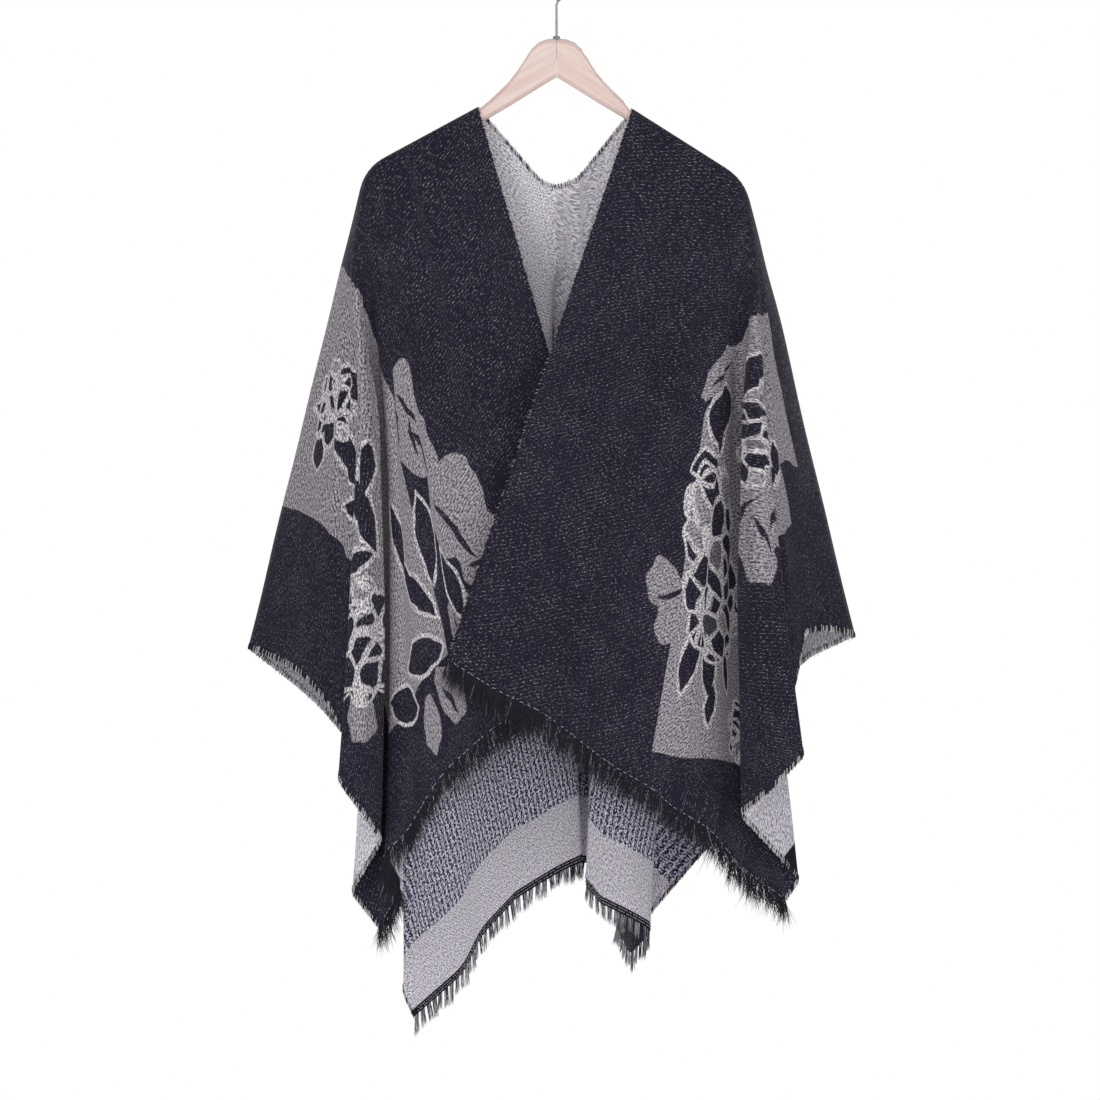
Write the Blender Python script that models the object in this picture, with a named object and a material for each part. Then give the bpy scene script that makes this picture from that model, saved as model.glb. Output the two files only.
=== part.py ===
"""A ruana, an open-fronted wrap of woven cloth, on the hanger that carries it.

The wrap is one cloth, 1.34 m wide and 1.5 m long, slit from the front hem to its middle.
It lies over the hanger's arms with 0.64 m of it in front and 0.865 m behind, so its sides
fall from the arm ends in folds, and the left front lies under the right one.

Lengths are in millimetres here and are turned into metres as each mesh is made.
X runs across, from the picture's left to its right, -Y is the front and Z is up.
The origin is the inside of the hook's top, where the hanger is hung up.
"""

import math

import bmesh
import bpy
import numpy as np

MM = 0.001

# The cloth
WALL = 1.4            # thickness of the cloth
RIDGE_GAP = 0.3       # front and back are parted by this along the shoulder
ARM_ROUND = 9.0       # radius of the cloth where it turns over an arm
FOLD_START = 0.04     # share of the way down at which the side folds begin
FOLD_FULL = 0.38      # share of the way down at which they are fully formed
SPREAD = 2.7          # how early the cloth leaves the plane of the hanger
COLUMN_STEP = 60.0    # longest flat stretch between two columns of points
FOLD_TURNS = 2        # steps round each fold
ROWS_BELOW_ARM = (0.06, 0.13, 0.22, 0.34, 0.49, 0.66, 0.83, 1.0)
ROWS_OVER_ARM = (0.0, 2.0, 7.0)
NECK_STEPS = (0.018, 0.05, 0.09)   # extra columns beside each neck point, in hang numbers

# The line that the cloth hangs from: down to the left sleeve, along the left arm, round the
# back of the neck and along the right arm.  A row's place in the list is its "hang" number.
HANG_LINE = (
    # place, across, drop, soft
    ("left sleeve", -224, 282, 0),
    ("left arm end", -210, 223, 24),
    ("left neck", -86, 156, 1),
    ("scoop left", -17, 236, 10),
    ("scoop middle", -1, 242, 6),
    ("scoop right", 23, 234, 10),
    ("right neck", 83, 158, 1),
    ("right arm end", 206, 236, 24),
    ("right sleeve", 221, 294, 0),
)

# One row for each fold or bend of a panel's free edge, in order along the cut.
#   cut     length along the flat cut edge, from the row that it starts at
#   hang    the place on the hanging line that the cloth here falls from
#   across, drop, depth    where the edge is
#   bow     how far the cloth is bowed to the right halfway down
#   soft    how far from the fold its rounding starts
LEFT_FRONT = (
    ("slit corner", 0, 2.00, 91, 770, -38, 0, 0),
    ("hem under right front", 75, 1.55, 15, 801, -46, 0, 25),
    ("hem left of slit", 165, 1.15, -62, 832, -61, 0, 25),
    ("hem middle", 330, 1.00, -128, 891, -75, 4, 25),
    ("hem outer", 470, 0.97, -167, 957, -90, 10, 12),
    ("hem fold", 510, 0.93, -192, 977, -80, 14, 18),
    ("hem return", 575, 0.90, -169, 1017, -50, 12, 12),
    ("hem corner", 672, 0.86, -195, 1057, -38, 12, 0),
    ("side fold", 722, 0.82, -225, 1019, -41, 8, 9),
    ("pleat inner edge", 803, 0.76, -191, 961, -84, 13, 9),
    ("pleat crest", 858, 0.70, -214, 925, -133, 8, 14),
    ("pleat outer edge", 911, 0.62, -239, 891, -122, 6, 10),
    ("pleat back", 1012, 0.50, -213, 857, -96, 8, 18),
    ("sleeve inner", 1055, 0.42, -233, 844, -87, 4, 9),
    ("sleeve dip", 1095, 0.36, -249, 810, -72, 2, 14),
    ("sleeve middle", 1170, 0.25, -282, 775, -49, 0, 25),
    ("sleeve outer", 1270, 0.10, -322, 757, -17, 0, 10),
    ("sleeve tip", 1312, 0.00, -339, 751, 0, 0, 0),
)

RIGHT_FRONT = (
    ("slit corner", 0, 6.00, -120, 764, -78, 0, 0),
    ("hem by slit", 75, 6.35, -62, 800, -86, 0, 25),
    ("hem before valley", 140, 6.65, -16, 821, -88, 0, 20),
    ("valley", 190, 6.80, 17, 847, -73, 0, 16),
    ("hem middle", 270, 6.95, 63, 882, -86, 0, 25),
    ("hem crest", 335, 7.00, 103, 903, -88, 0, 20),
    ("hem outer", 380, 7.02, 126, 925, -86, 0, 12),
    ("hem turning back", 450, 7.05, 167, 949, -68, -4, 16),
    ("hem behind pleat", 560, 7.10, 201, 992, -44, -8, 12),
    ("hem corner", 672, 7.14, 251, 1028, -29, -8, 0),
    ("side fold", 705, 7.18, 267, 1005, -31, -6, 8),
    ("pleat inner edge", 812, 7.25, 200, 932, -81, -8, 10),
    ("pleat crest", 856, 7.32, 231, 905, -127, -6, 14),
    ("pleat outer edge", 915, 7.40, 271, 865, -112, -5, 10),
    ("pleat back", 1010, 7.50, 237, 832, -86, -4, 18),
    ("sleeve inner", 1090, 7.62, 261, 790, -75, 0, 9),
    ("sleeve dip", 1140, 7.70, 268, 758, -62, 0, 10),
    ("sleeve middle", 1180, 7.76, 272, 734, -55, 0, 10),
    ("sleeve outer", 1245, 7.88, 292, 730, -36, 0, 14),
    ("sleeve edge", 1300, 7.97, 321, 735, -8, 0, 10),
    ("sleeve tip", 1312, 8.00, 328, 738, 0, 0, 0),
)

BACK = (
    ("left sleeve tip", 0, 0.00, -339, 751, 0, 0, 0),
    ("left sleeve edge", 15, 0.12, -328, 760, 12, 0, 10),
    ("left sleeve outer", 75, 0.33, -293, 788, 32, 0, 20),
    ("left sleeve middle", 130, 0.50, -262, 815, 49, 2, 20),
    ("left sleeve inner", 210, 0.62, -232, 852, 65, 4, 9),
    ("left pleat back", 250, 0.70, -218, 868, 81, 6, 9),
    ("left pleat outer edge", 340, 0.78, -232, 905, 122, 6, 10),
    ("left pleat crest", 400, 0.84, -204, 938, 151, 10, 14),
    ("left pleat inner edge", 470, 0.90, -176, 964, 127, 14, 10),
    ("left side fold", 570, 0.97, -196, 1011, 84, 14, 10),
    ("left side turn", 700, 1.02, -128, 1089, 68, 10, 10),
    ("left fold by corner", 820, 1.08, -172, 1124, -15, 10, 16),
    ("left hem corner", 865, 1.12, -157, 1156, -15, 8, 0),
    ("left hem outer", 900, 1.20, -140, 1141, -11, 6, 12),
    ("left hem bend", 960, 1.40, -103, 1109, 6, 4, 14),
    ("left hem rise", 1015, 1.60, -83, 1068, 22, 0, 14),
    ("left hem inner", 1090, 2.00, -45, 1028, 32, 0, 0),
    ("hem middle", 1160, 3.00, 2, 999, 43, 0, 25),
    ("hem going behind", 1210, 4.20, 35, 985, 51, 0, 14),
    ("hidden pleat left", 1300, 4.50, -50, 990, 84, 0, 14),
    ("hidden pleat back", 1340, 4.80, -40, 990, 126, 0, 14),
    ("hidden pleat right", 1430, 5.30, 58, 992, 112, 0, 12),
    ("hidden pleat side", 1470, 5.50, 62, 1000, 78, 0, 10),
    ("middle fold", 1540, 5.60, 30, 1010, 27, 0, 9),
    ("right hem inner", 1570, 6.00, 49, 1033, 22, 0, 0),
    ("right hem outer", 1610, 6.35, 80, 1048, 24, 0, 12),
    ("right hem fold", 1650, 6.60, 105, 1063, 38, 0, 9),
    ("right hem return", 1690, 6.72, 82, 1091, 70, 0, 8),
    ("right hidden fold", 1780, 6.90, 66, 1058, 124, 0, 10),
    ("right hem corner", 1850, 7.00, 92, 1066, 151, 0, 0),
    ("right side lower", 1900, 7.04, 126, 1025, 146, 0, 12),
    ("right side middle", 1955, 7.08, 162, 982, 124, -4, 12),
    ("right side turn", 2020, 7.15, 206, 938, 113, -8, 10),
    ("right pleat inner edge", 2090, 7.25, 178, 903, 151, -8, 10),
    ("right pleat crest", 2150, 7.35, 215, 874, 176, -6, 14),
    ("right pleat outer edge", 2210, 7.45, 255, 859, 146, -5, 10),
    ("right pleat back", 2300, 7.60, 233, 821, 100, -4, 10),
    ("right sleeve inner", 2390, 7.75, 263, 777, 62, 0, 14),
    ("right sleeve middle", 2440, 7.85, 281, 760, 40, 0, 10),
    ("right sleeve edge", 2500, 7.95, 318, 742, 12, 0, 10),
    ("right sleeve tip", 2515, 8.00, 328, 738, 0, 0, 0),
)

# Close under an arm's end the folds have not formed yet: there the cloth is an easy arc from
# one row to another, pulled towards a point.
#   rows it runs between, then the point's across, drop and depth
LEFT_FRONT_ARCS = (("hem middle", "sleeve tip", -290, 1040, -174),)
RIGHT_FRONT_ARCS = (("hem outer", "sleeve tip", 290, 1020, -156),)
BACK_ARCS = (
    ("left sleeve tip", "left hem bend", -270, 1150, 162),
    ("right hem fold", "right sleeve tip", 260, 1130, 176),
    ("hem middle", "right hem inner", 26, 990, 120),
)

# Fringe: a narrow strip along each hem, with locks that hang from it
STRIP_GAP = 0.5
STRIP_HEIGHT = 2.4
FRONT_FRINGE = 31.0
BACK_FRINGE = 24.0
LOCK_STEP = 14.0      # from one lock to the next along the hem
LOCK_SHARE = 0.62     # how much of that the lock's root takes up
LOCK_TIP = 0.35       # its tip's width as a share of its root's
LOCK_FALL = 0.65      # how far a lock leans from the cloth's line to straight down

# The hanger
HANGER_DEPTH = 13.0
HANGER_ROUND = 5.0
SEAM_GAP = 0.3
#   across, top drop, bottom drop; both halves share the middle, each has its own arm
HANGER_MIDDLE = (
    (0, 80.6, 123.0), (11, 81.4, 129.5), (20, 85.0, 135.0), (28, 92.5, 140.0),
    (36, 104.5, 145.0), (44, 117.0, 150.0), (53, 128.5, 155.5), (64, 139.5, 162.0),
    (74, 149.0, 168.0),
)
LEFT_ARM = ((84, 157.2, 174.0), (105, 168.4, 186.0), (135, 184.7, 202.5), (163, 200.0, 218.0),
            (180, 210.7, 227.0), (191, 219.7, 231.0), (195, 224.7, 229.0))
RIGHT_ARM = ((81, 158.6, 173.5), (105, 174.2, 191.5), (135, 193.2, 210.5), (163, 211.0, 228.0),
             (179, 222.3, 238.0), (189, 231.3, 242.0), (193, 236.2, 240.5))

# The hook
WIRE_RADIUS = 1.65
CROOK_INSIDE = 18.0
HANGER_TOP = 80.6
SHANK_DEPTH = 24.0    # how far the shank goes down between the halves
SHANK_CLEAR = 2.05    # radius of the hole for it
CROOK_START = -38.0   # angles round the crook, from the +X side
CROOK_END = 205.0
COLLAR_RADIUS = 4.2
COLLAR_HEIGHT = 2.4

MATERIALS = {
    "cloth": ((0.020, 0.018, 0.030, 1.0), 0.9, 0.0),
    "fringe": ((0.012, 0.011, 0.016, 1.0), 0.95, 0.0),
    "wood": ((0.78, 0.61, 0.50, 1.0), 0.4, 0.0),
    "steel": ((0.62, 0.61, 0.60, 1.0), 0.22, 1.0),
}


def clear_scene():
    for obj in list(bpy.data.objects):
        bpy.data.objects.remove(obj)


def material(name):
    colour, roughness, metallic = MATERIALS[name]
    made = bpy.data.materials.get(name) or bpy.data.materials.new(name)
    made.use_nodes = True
    shader = made.node_tree.nodes["Principled BSDF"]
    shader.inputs["Base Color"].default_value = colour
    shader.inputs["Roughness"].default_value = roughness
    shader.inputs["Metallic"].default_value = metallic
    return made


def add_object(name, mesh, finish, smooth_angle=40.0):
    obj = bpy.data.objects.new(name, mesh)
    bpy.context.collection.objects.link(obj)
    mesh.materials.append(material(finish))
    mesh.shade_smooth()
    mesh.set_sharp_from_angle(angle=math.radians(smooth_angle))
    return obj


def mesh_from(name, points, faces):
    mesh = bpy.data.meshes.new(name)
    mesh.from_pydata([tuple(point) for point in np.asarray(points) * MM], [], faces)
    bm = bmesh.new()
    bm.from_mesh(mesh)
    bmesh.ops.recalc_face_normals(bm, faces=bm.faces)
    bm.to_mesh(mesh)
    bm.free()
    return mesh


def ease(share):
    share = np.clip(share, 0.0, 1.0)
    return share * share * (3.0 - 2.0 * share)


def round_corners(rows, points, softs, parts, turns):
    """Round a line of rows at each corner, measuring along the points that they stand at.

    parts holds the number of steps on each straight stretch and is filled in if it is empty.
    """
    walked = [rows[0]]
    filling = not parts
    done = 0

    def go_to(end, length):
        nonlocal done
        if filling:
            parts.append(max(1, math.ceil(length / COLUMN_STEP)))
        start, steps = walked[-1], parts[done]
        walked.extend(start + (end - start) * k / steps for k in range(1, steps + 1))
        done += 1

    spans = np.maximum(np.linalg.norm(np.diff(points, axis=0), axis=1), 0.01)
    cuts = [[0.0, 0.0] for _ in rows]
    for k in range(1, len(rows) - 1):
        cuts[k] = [min(softs[k] / spans[k - 1], 0.45), min(softs[k] / spans[k], 0.45)]
    for k in range(1, len(rows)):
        before, corner = rows[k - 1], rows[k]
        straight = spans[k - 1] * (1 - cuts[k - 1][1] - cuts[k][0])
        start = corner + (before - corner) * cuts[k][0]
        go_to(start, straight)
        if not softs[k] or k == len(rows) - 1:
            continue
        end = corner + (rows[k + 1] - corner) * cuts[k][1]
        for turn in range(1, turns + 1):
            share = turn / turns
            walked.append((1 - share) ** 2 * start + 2 * share * (1 - share) * corner
                          + share ** 2 * end)
    return np.array(walked)


def hanging_line():
    """The hanging line as rows of hang number, across and height, its corners rounded."""
    rows = np.array([(k, across, -drop) for k, (_, across, drop, _) in enumerate(HANG_LINE)])
    softs = [row[3] for row in HANG_LINE]
    return round_corners(rows, rows[:, 1:], softs, [20] * (len(rows) - 1), 6)


def from_ridge(points, line):
    """How far each point is, across and up, from the nearer shoulder's ridge."""
    nearest = np.full(len(points), 1e9)
    left_tip, right_tip = [(row[3], -row[4]) for row in (LEFT_FRONT[-1], RIGHT_FRONT[-1])]
    left = np.vstack([[left_tip], line[line[:, 0] <= 2.0][:, 1:]])
    right = np.vstack([line[line[:, 0] >= 6.0][:, 1:], [right_tip]])
    for ridge in (left, right):
        for start, end in zip(ridge, ridge[1:]):
            way = end - start
            share = np.clip(((points - start) @ way) / (way @ way), 0.0, 1.0)
            gap = np.linalg.norm(points - start - share[:, None] * way, axis=1)
            nearest = np.minimum(nearest, gap)
    return nearest


def hung(rows, level, table, arcs, side, line):
    """Where the cloth is at one level, for rows of cut, hang, across, drop, depth and bow.

    The level is a distance below the hanging line, and a share of the way on to the free edge.
    """
    cut, hang, across, drop, depth, bow = rows.T
    top = np.stack([np.interp(hang, line[:, 0], line[:, 1]),
                    np.interp(hang, line[:, 0], line[:, 2])], axis=1)
    folded = np.stack([across, -drop, depth], axis=1)
    easy = folded.copy()
    places = {row[0]: row for row in table}
    for first, last, pull_across, pull_drop, pull_depth in arcs:
        start, end = places[first], places[last]
        inside = (cut >= start[1]) & (cut <= end[1])
        share = ((cut - start[1]) / (end[1] - start[1]))[inside, None]
        ends = [np.array([row[3], -row[4], row[5]], float) for row in (start, end)]
        pull = np.array([pull_across, -pull_drop, pull_depth], float)
        easy[inside] = ((1 - share) ** 2 * ends[0] + 2 * share * (1 - share) * pull
                        + share ** 2 * ends[1])
    over = level[0] / np.linalg.norm(folded[:, :2] - top, axis=1)
    share = over + (1 - over) * level[1]
    formed = ease((share - FOLD_START) / (FOLD_FULL - FOLD_START))[:, None]
    target = easy + (folded - easy) * formed
    place = top + (target[:, :2] - top) * share[:, None]
    place[:, 0] += bow * 4 * share * (1 - share) * formed[:, 0]
    reach = np.clip(from_ridge(place, line) / ARM_ROUND, 0.0, 1.0)
    turned = np.sqrt(1 - (1 - reach) ** 2)
    out = side * (RIDGE_GAP / 2 + (ARM_ROUND - RIDGE_GAP / 2) * turned * (1 - share))
    out += target[:, 2] * (1 - (1 - share) ** SPREAD)
    return np.stack([place[:, 0], out, place[:, 1]], axis=1)


def drape(table, arcs, side):
    """Middle surface of a hung panel, as a grid of points: rows down, columns along the cut.

    Each column is one line of cloth from the hanging line down to the free edge.  Returned
    with it is the free edge, as rows of cut, hang, across, drop, depth and bow.
    """
    line = hanging_line()
    folds = [list(row[1:]) for row in table]
    hangs, columns = [fold[1] for fold in folds], list(zip(*folds))
    for hang in [2 + step for step in NECK_STEPS] + [6 - step for step in NECK_STEPS]:
        if hangs[0] < hang < hangs[-1]:
            folds.append([np.interp(hang, hangs, column) for column in columns[:6]] + [0])
    folds.sort(key=lambda fold: fold[0])
    rows = np.array([fold[:6] for fold in folds], float)
    softs = [fold[6] for fold in folds]
    levels = [(distance, 0.0) for distance in ROWS_OVER_ARM]
    levels += [(ROWS_OVER_ARM[-1], share) for share in ROWS_BELOW_ARM]
    parts, grid, edges = [], [], []
    for level in reversed(levels):
        points = hung(rows, level, table, arcs, side, line)
        edges.append(round_corners(rows, points, softs, parts, FOLD_TURNS))
        grid.append(hung(edges[-1], level, table, arcs, side, line))
    return np.array(grid[::-1]), edges[0]


def outward_normals(grid, ridge_top, ridge_sides):
    """Unit normals out of the cloth's outer face; along a ridge they lie in its own plane."""
    down = np.gradient(grid, axis=0)
    along = np.gradient(grid, axis=1)
    normals = np.cross(along, down)
    away = np.sign(grid[..., 0])

    def in_plane(way, outside):
        across = np.stack([-way[:, 2], np.zeros(len(way)), way[:, 0]], axis=1)
        facing = across[:, 2] + 0.3 * across[:, 0] * outside
        return across * np.sign(facing)[:, None]

    normals[0, ridge_top] = in_plane(along[0, ridge_top], away[0, ridge_top])
    for column in ridge_sides:
        normals[:, column] = in_plane(down[:, column], away[:, column])
    return normals / np.linalg.norm(normals, axis=2, keepdims=True)


def cloth_wall(name, grid, normals):
    """A closed wall on both sides of a grid."""
    rows, columns = grid.shape[:2]
    outer = (grid + normals * WALL / 2).reshape(-1, 3)
    inner = (grid - normals * WALL / 2).reshape(-1, 3)
    count = rows * columns

    def at(row, column):
        return row * columns + column

    faces = []
    for row in range(rows - 1):
        for column in range(columns - 1):
            quad = (at(row, column), at(row + 1, column), at(row + 1, column + 1),
                    at(row, column + 1))
            faces.append(quad[:1] + quad[:0:-1])
            faces.append(tuple(count + corner for corner in quad))
    border = ([at(0, column) for column in range(columns - 1)]
              + [at(row, columns - 1) for row in range(rows - 1)]
              + [at(rows - 1, column) for column in range(columns - 1, 0, -1)]
              + [at(row, 0) for row in range(rows - 1, 0, -1)])
    for here, there in zip(border, border[1:] + border[:1]):
        faces.append((there, here, count + here, count + there))
    add_object(name, mesh_from(name, np.vstack([outer, inner]), faces), "cloth")


def build_panel(name, table, arcs, side):
    """Build one panel's wall; returns what its fringe hangs from."""
    grid, edge = drape(table, arcs, side)
    if name == "right_front":
        grid, edge = grid[:, ::-1], edge[::-1]
    hang = edge[:, 1]
    ridge_top = (hang <= 2.0) | (hang >= 6.0)
    ridge_sides = [column for column in (0, len(edge) - 1)
                   if hang[column] < 0.01 or hang[column] > 7.99]
    normals = outward_normals(grid, ridge_top, ridge_sides)
    cloth_wall(name, grid, normals)
    return grid, edge, normals


def build_fringe(name, grid, edge, normals, cuts, length):
    """A strip just off a hem, with locks hanging from it wherever it runs straight enough."""
    hem = (edge[:, 0] >= cuts[0]) & (edge[:, 0] <= cuts[1])
    corners, faced = grid[-1, hem], normals[-1, hem]
    place, out, roots = [], [], []
    for here, there, out_here, out_there in zip(corners, corners[1:], faced, faced[1:]):
        long = np.linalg.norm(there - here)
        locks = max(int(long > LOCK_STEP / 2), round(long / LOCK_STEP))
        shares = [0.0]
        for k in range(locks):
            roots.append(len(place) + len(shares))
            shares += [(k + 0.5 - LOCK_SHARE / 2) / locks, (k + 0.5 + LOCK_SHARE / 2) / locks]
        place += [here + (there - here) * share for share in shares]
        out += [out_here + (out_there - out_here) * share for share in shares]
    place = np.array(place + [corners[-1]])
    out = np.array(out + [faced[-1]])
    fall = np.cross(out, np.gradient(place, axis=0))
    fall *= np.sign(-fall[:, 2:])
    fall /= np.linalg.norm(fall, axis=1, keepdims=True)
    top = place + fall * STRIP_GAP
    bottom = place + fall * (STRIP_GAP + STRIP_HEIGHT)
    half = out * WALL / 2
    vertices = []
    for k in range(len(place)):
        vertices += [top[k] + half[k], bottom[k] + half[k], bottom[k] - half[k], top[k] - half[k]]
    faces = [(0, 1, 2, 3)]
    for k in range(len(place) - 1):
        here, there = 4 * k, 4 * k + 4
        for a, b in ((0, 1), (2, 3), (3, 0)):
            faces.append((here + a, there + a, there + b, here + b))
        root = (here + 1, there + 1, there + 2, here + 2)
        if k not in roots:
            faces.append(root)
            continue
        middle = (bottom[k] + bottom[k + 1]) / 2
        lean = fall[k] * (1 - LOCK_FALL) + np.array([0, 0, -LOCK_FALL])
        lean /= np.linalg.norm(lean)
        tip = middle + lean * (length - STRIP_GAP - STRIP_HEIGHT)
        base = len(vertices)
        for corner in root:
            vertices.append(tip + (vertices[corner] - middle) * LOCK_TIP)
        ends = (base, base + 1, base + 2, base + 3)
        for a in range(4):
            b = (a + 1) % 4
            faces.append((root[a], root[b], ends[b], ends[a]))
        faces.append(ends)
    last_ring = 4 * len(place) - 4
    faces.append((last_ring + 3, last_ring + 2, last_ring + 1, last_ring))
    add_object(name, mesh_from(name, vertices, faces), "fringe")


def rounded_slice(across, top, bottom):
    """Upright slice of a hanger half: a rectangle with rounded corners."""
    tall, deep = (top - bottom) / 2, HANGER_DEPTH / 2
    radius = min(HANGER_ROUND, 0.7 * tall)
    middle = (top + bottom) / 2
    ring = []
    for k, (front, up) in enumerate(((1, 1), (-1, 1), (-1, -1), (1, -1))):
        for turn in (0, 45, 90):
            angle = math.radians(90 * k + turn)
            ring.append((across, front * (deep - radius) + radius * math.cos(angle),
                         middle + up * (tall - radius) + radius * math.sin(angle)))
    return ring


def build_hanger_half(name, side, arm):
    slices = [(across, -top, -bottom) for across, top, bottom in HANGER_MIDDLE + arm]
    bm = bmesh.new()
    rings = []
    for across, top, bottom in slices:
        place = side * max(across, SEAM_GAP / 2)
        ring = rounded_slice(place, top, bottom)
        rings.append([bm.verts.new([value * MM for value in point]) for point in ring])
    for here, there in zip(rings, rings[1:]):
        for k in range(len(here)):
            following = (k + 1) % len(here)
            bm.faces.new((here[k], here[following], there[following], there[k]))
    bm.faces.new(rings[0])
    bm.faces.new(rings[-1][::-1])
    bmesh.ops.recalc_face_normals(bm, faces=bm.faces)
    mesh = bpy.data.meshes.new(name)
    bm.to_mesh(mesh)
    bm.free()
    half = add_object(name, mesh, "wood")
    hole = half.modifiers.new("shank hole", "BOOLEAN")
    hole.operation = "DIFFERENCE"
    hole.solver = "EXACT"
    hole.object = bpy.data.objects["shank_cutter"]


def build_shank_cutter():
    tall = SHANK_DEPTH + 12.0
    bpy.ops.mesh.primitive_cylinder_add(
        vertices=16, radius=SHANK_CLEAR * MM, depth=tall * MM,
        location=(0, 0, (-HANGER_TOP - SHANK_DEPTH - 0.3 + tall / 2) * MM))
    cutter = bpy.context.object
    cutter.name = "shank_cutter"
    cutter.hide_render = True
    cutter.display_type = "WIRE"


def hook_route():
    """Centre line of the hook's wire, from its foot in the hanger to its tip."""
    radius = CROOK_INSIDE + WIRE_RADIUS
    centre = -CROOK_INSIDE
    foot = -HANGER_TOP - SHANK_DEPTH
    straight_top = centre - radius - 5.0
    start = math.radians(CROOK_START)
    join = (radius * math.cos(start), centre + radius * math.sin(start))
    heading = (-math.sin(start), math.cos(start))
    route = [(0.0, foot + (straight_top - foot) * k / 6) for k in range(7)]
    pulls = ((0.0, straight_top), (0.0, straight_top + 7.5),
             (join[0] - 8.0 * heading[0], join[1] - 8.0 * heading[1]), join)
    for k in range(1, 7):
        s = k / 6
        weights = ((1 - s) ** 3, 3 * s * (1 - s) ** 2, 3 * s * s * (1 - s), s ** 3)
        route.append(tuple(sum(w * p[axis] for w, p in zip(weights, pulls)) for axis in (0, 1)))
    turns = 18
    for k in range(1, turns + 1):
        angle = math.radians(CROOK_START + (CROOK_END - CROOK_START) * k / turns)
        route.append((radius * math.cos(angle), centre + radius * math.sin(angle)))
    return route


def build_hook():
    curve = bpy.data.curves.new("hook", "CURVE")
    curve.dimensions = "3D"
    curve.bevel_depth = WIRE_RADIUS * MM
    curve.bevel_resolution = 2
    curve.use_fill_caps = True
    spline = curve.splines.new("POLY")
    route = hook_route()
    spline.points.add(len(route) - 1)
    for point, (across, up) in zip(spline.points, route):
        point.co = (across * MM, 0.0, up * MM, 1.0)
    obj = bpy.data.objects.new("hook", curve)
    bpy.context.collection.objects.link(obj)
    curve.materials.append(material("steel"))


def build_collar():
    """The turned collar where the shank enters the wood."""
    inner, outer = SHANK_CLEAR, COLLAR_RADIUS
    low = -HANGER_TOP + 0.3
    high = low + COLLAR_HEIGHT
    profile = ((inner, low), (outer, low), (outer, high - 0.8), (outer - 0.9, high), (inner, high))
    sides = 20
    points = []
    for k in range(sides):
        angle = 2 * math.pi * k / sides
        points += [(r * math.cos(angle), r * math.sin(angle), z) for r, z in profile]
    faces = []
    count = len(profile)
    for k in range(sides):
        here, there = k * count, (k + 1) % sides * count
        for a in range(count):
            b = (a + 1) % count
            faces.append((here + a, there + a, there + b, here + b))
    add_object("hook_collar", mesh_from("hook_collar", points, faces), "steel")


clear_scene()
for name, table, arcs, side, hem, length in (
        ("left_front", LEFT_FRONT, LEFT_FRONT_ARCS, -1, ("slit corner", "hem corner"), FRONT_FRINGE),
        ("right_front", RIGHT_FRONT, RIGHT_FRONT_ARCS, -1, ("slit corner", "hem corner"),
         FRONT_FRINGE),
        ("back", BACK, BACK_ARCS, 1, ("left hem corner", "right hem corner"), BACK_FRINGE)):
    grid, edge, normals = build_panel(name, table, arcs, side)
    cuts = {row[0]: row[1] for row in table}
    build_fringe(name + "_fringe", grid, edge, normals, [cuts[end] for end in hem], length)
build_shank_cutter()
build_hanger_half("hanger_left", -1, LEFT_ARM)
build_hanger_half("hanger_right", 1, RIGHT_ARM)
build_hook()
build_collar()
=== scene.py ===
"""A ruana, an open-fronted wrap of dark woven cloth, on its wooden hanger.

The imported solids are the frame.  The hanger and its hook keep their solids and get their
finishes here; the cloth, its fringe and its sewing are made here and ride on the same body.
"""

import math

import bpy
import numpy as np
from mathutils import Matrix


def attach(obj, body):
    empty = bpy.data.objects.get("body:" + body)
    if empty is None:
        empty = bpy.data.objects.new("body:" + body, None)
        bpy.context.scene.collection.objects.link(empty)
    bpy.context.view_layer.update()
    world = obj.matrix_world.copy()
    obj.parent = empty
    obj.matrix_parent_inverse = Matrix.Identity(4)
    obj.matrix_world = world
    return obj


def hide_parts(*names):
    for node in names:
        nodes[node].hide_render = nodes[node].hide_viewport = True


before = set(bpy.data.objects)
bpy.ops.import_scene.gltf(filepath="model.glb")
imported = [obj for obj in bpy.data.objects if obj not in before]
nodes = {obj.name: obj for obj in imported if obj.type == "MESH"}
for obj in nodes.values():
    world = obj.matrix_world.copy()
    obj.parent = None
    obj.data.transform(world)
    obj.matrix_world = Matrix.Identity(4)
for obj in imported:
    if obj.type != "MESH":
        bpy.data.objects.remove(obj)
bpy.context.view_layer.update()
bpy.ops.object.select_all(action="DESELECT")

# ------------------------------------------------------------------------------
# The camera stands level with the middle of the wrap, straight in front, and far enough away
# that the folds at the sides are seen from the front.
# ------------------------------------------------------------------------------
VIEW_WIDTH = 1.21                      # what the picture's width takes in at the cloth
VIEW_MIDDLE = (-0.0072, -0.643)        # across and up, from the hook's top
CAMERA_AWAY = 9.0

camera_data = bpy.data.cameras.new("camera")
camera_data.lens = camera_data.sensor_width * CAMERA_AWAY / VIEW_WIDTH
camera = bpy.data.objects.new("camera", camera_data)
camera.location = (VIEW_MIDDLE[0], -CAMERA_AWAY, VIEW_MIDDLE[1])
camera.rotation_euler = (math.radians(90), 0, 0)
bpy.context.collection.objects.link(camera)
bpy.context.scene.camera = camera

# ------------------------------------------------------------------------------
# The hanger is pale beech in two halves, glued at the middle, rounded over and lacquered.
# Its grain runs out along each arm.
# ------------------------------------------------------------------------------
def add_node(tree, kind, inputs=None, **settings):
    """Add a shader node.  inputs gives values, or other nodes' outputs, by socket."""
    made = tree.nodes.new("ShaderNode" + kind)
    for name, value in settings.items():
        setattr(made, name, value)
    for name, value in (inputs or {}).items():
        if isinstance(value, bpy.types.NodeSocket):
            tree.links.new(value, made.inputs[name])
        else:
            made.inputs[name].default_value = value
    return made


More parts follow.
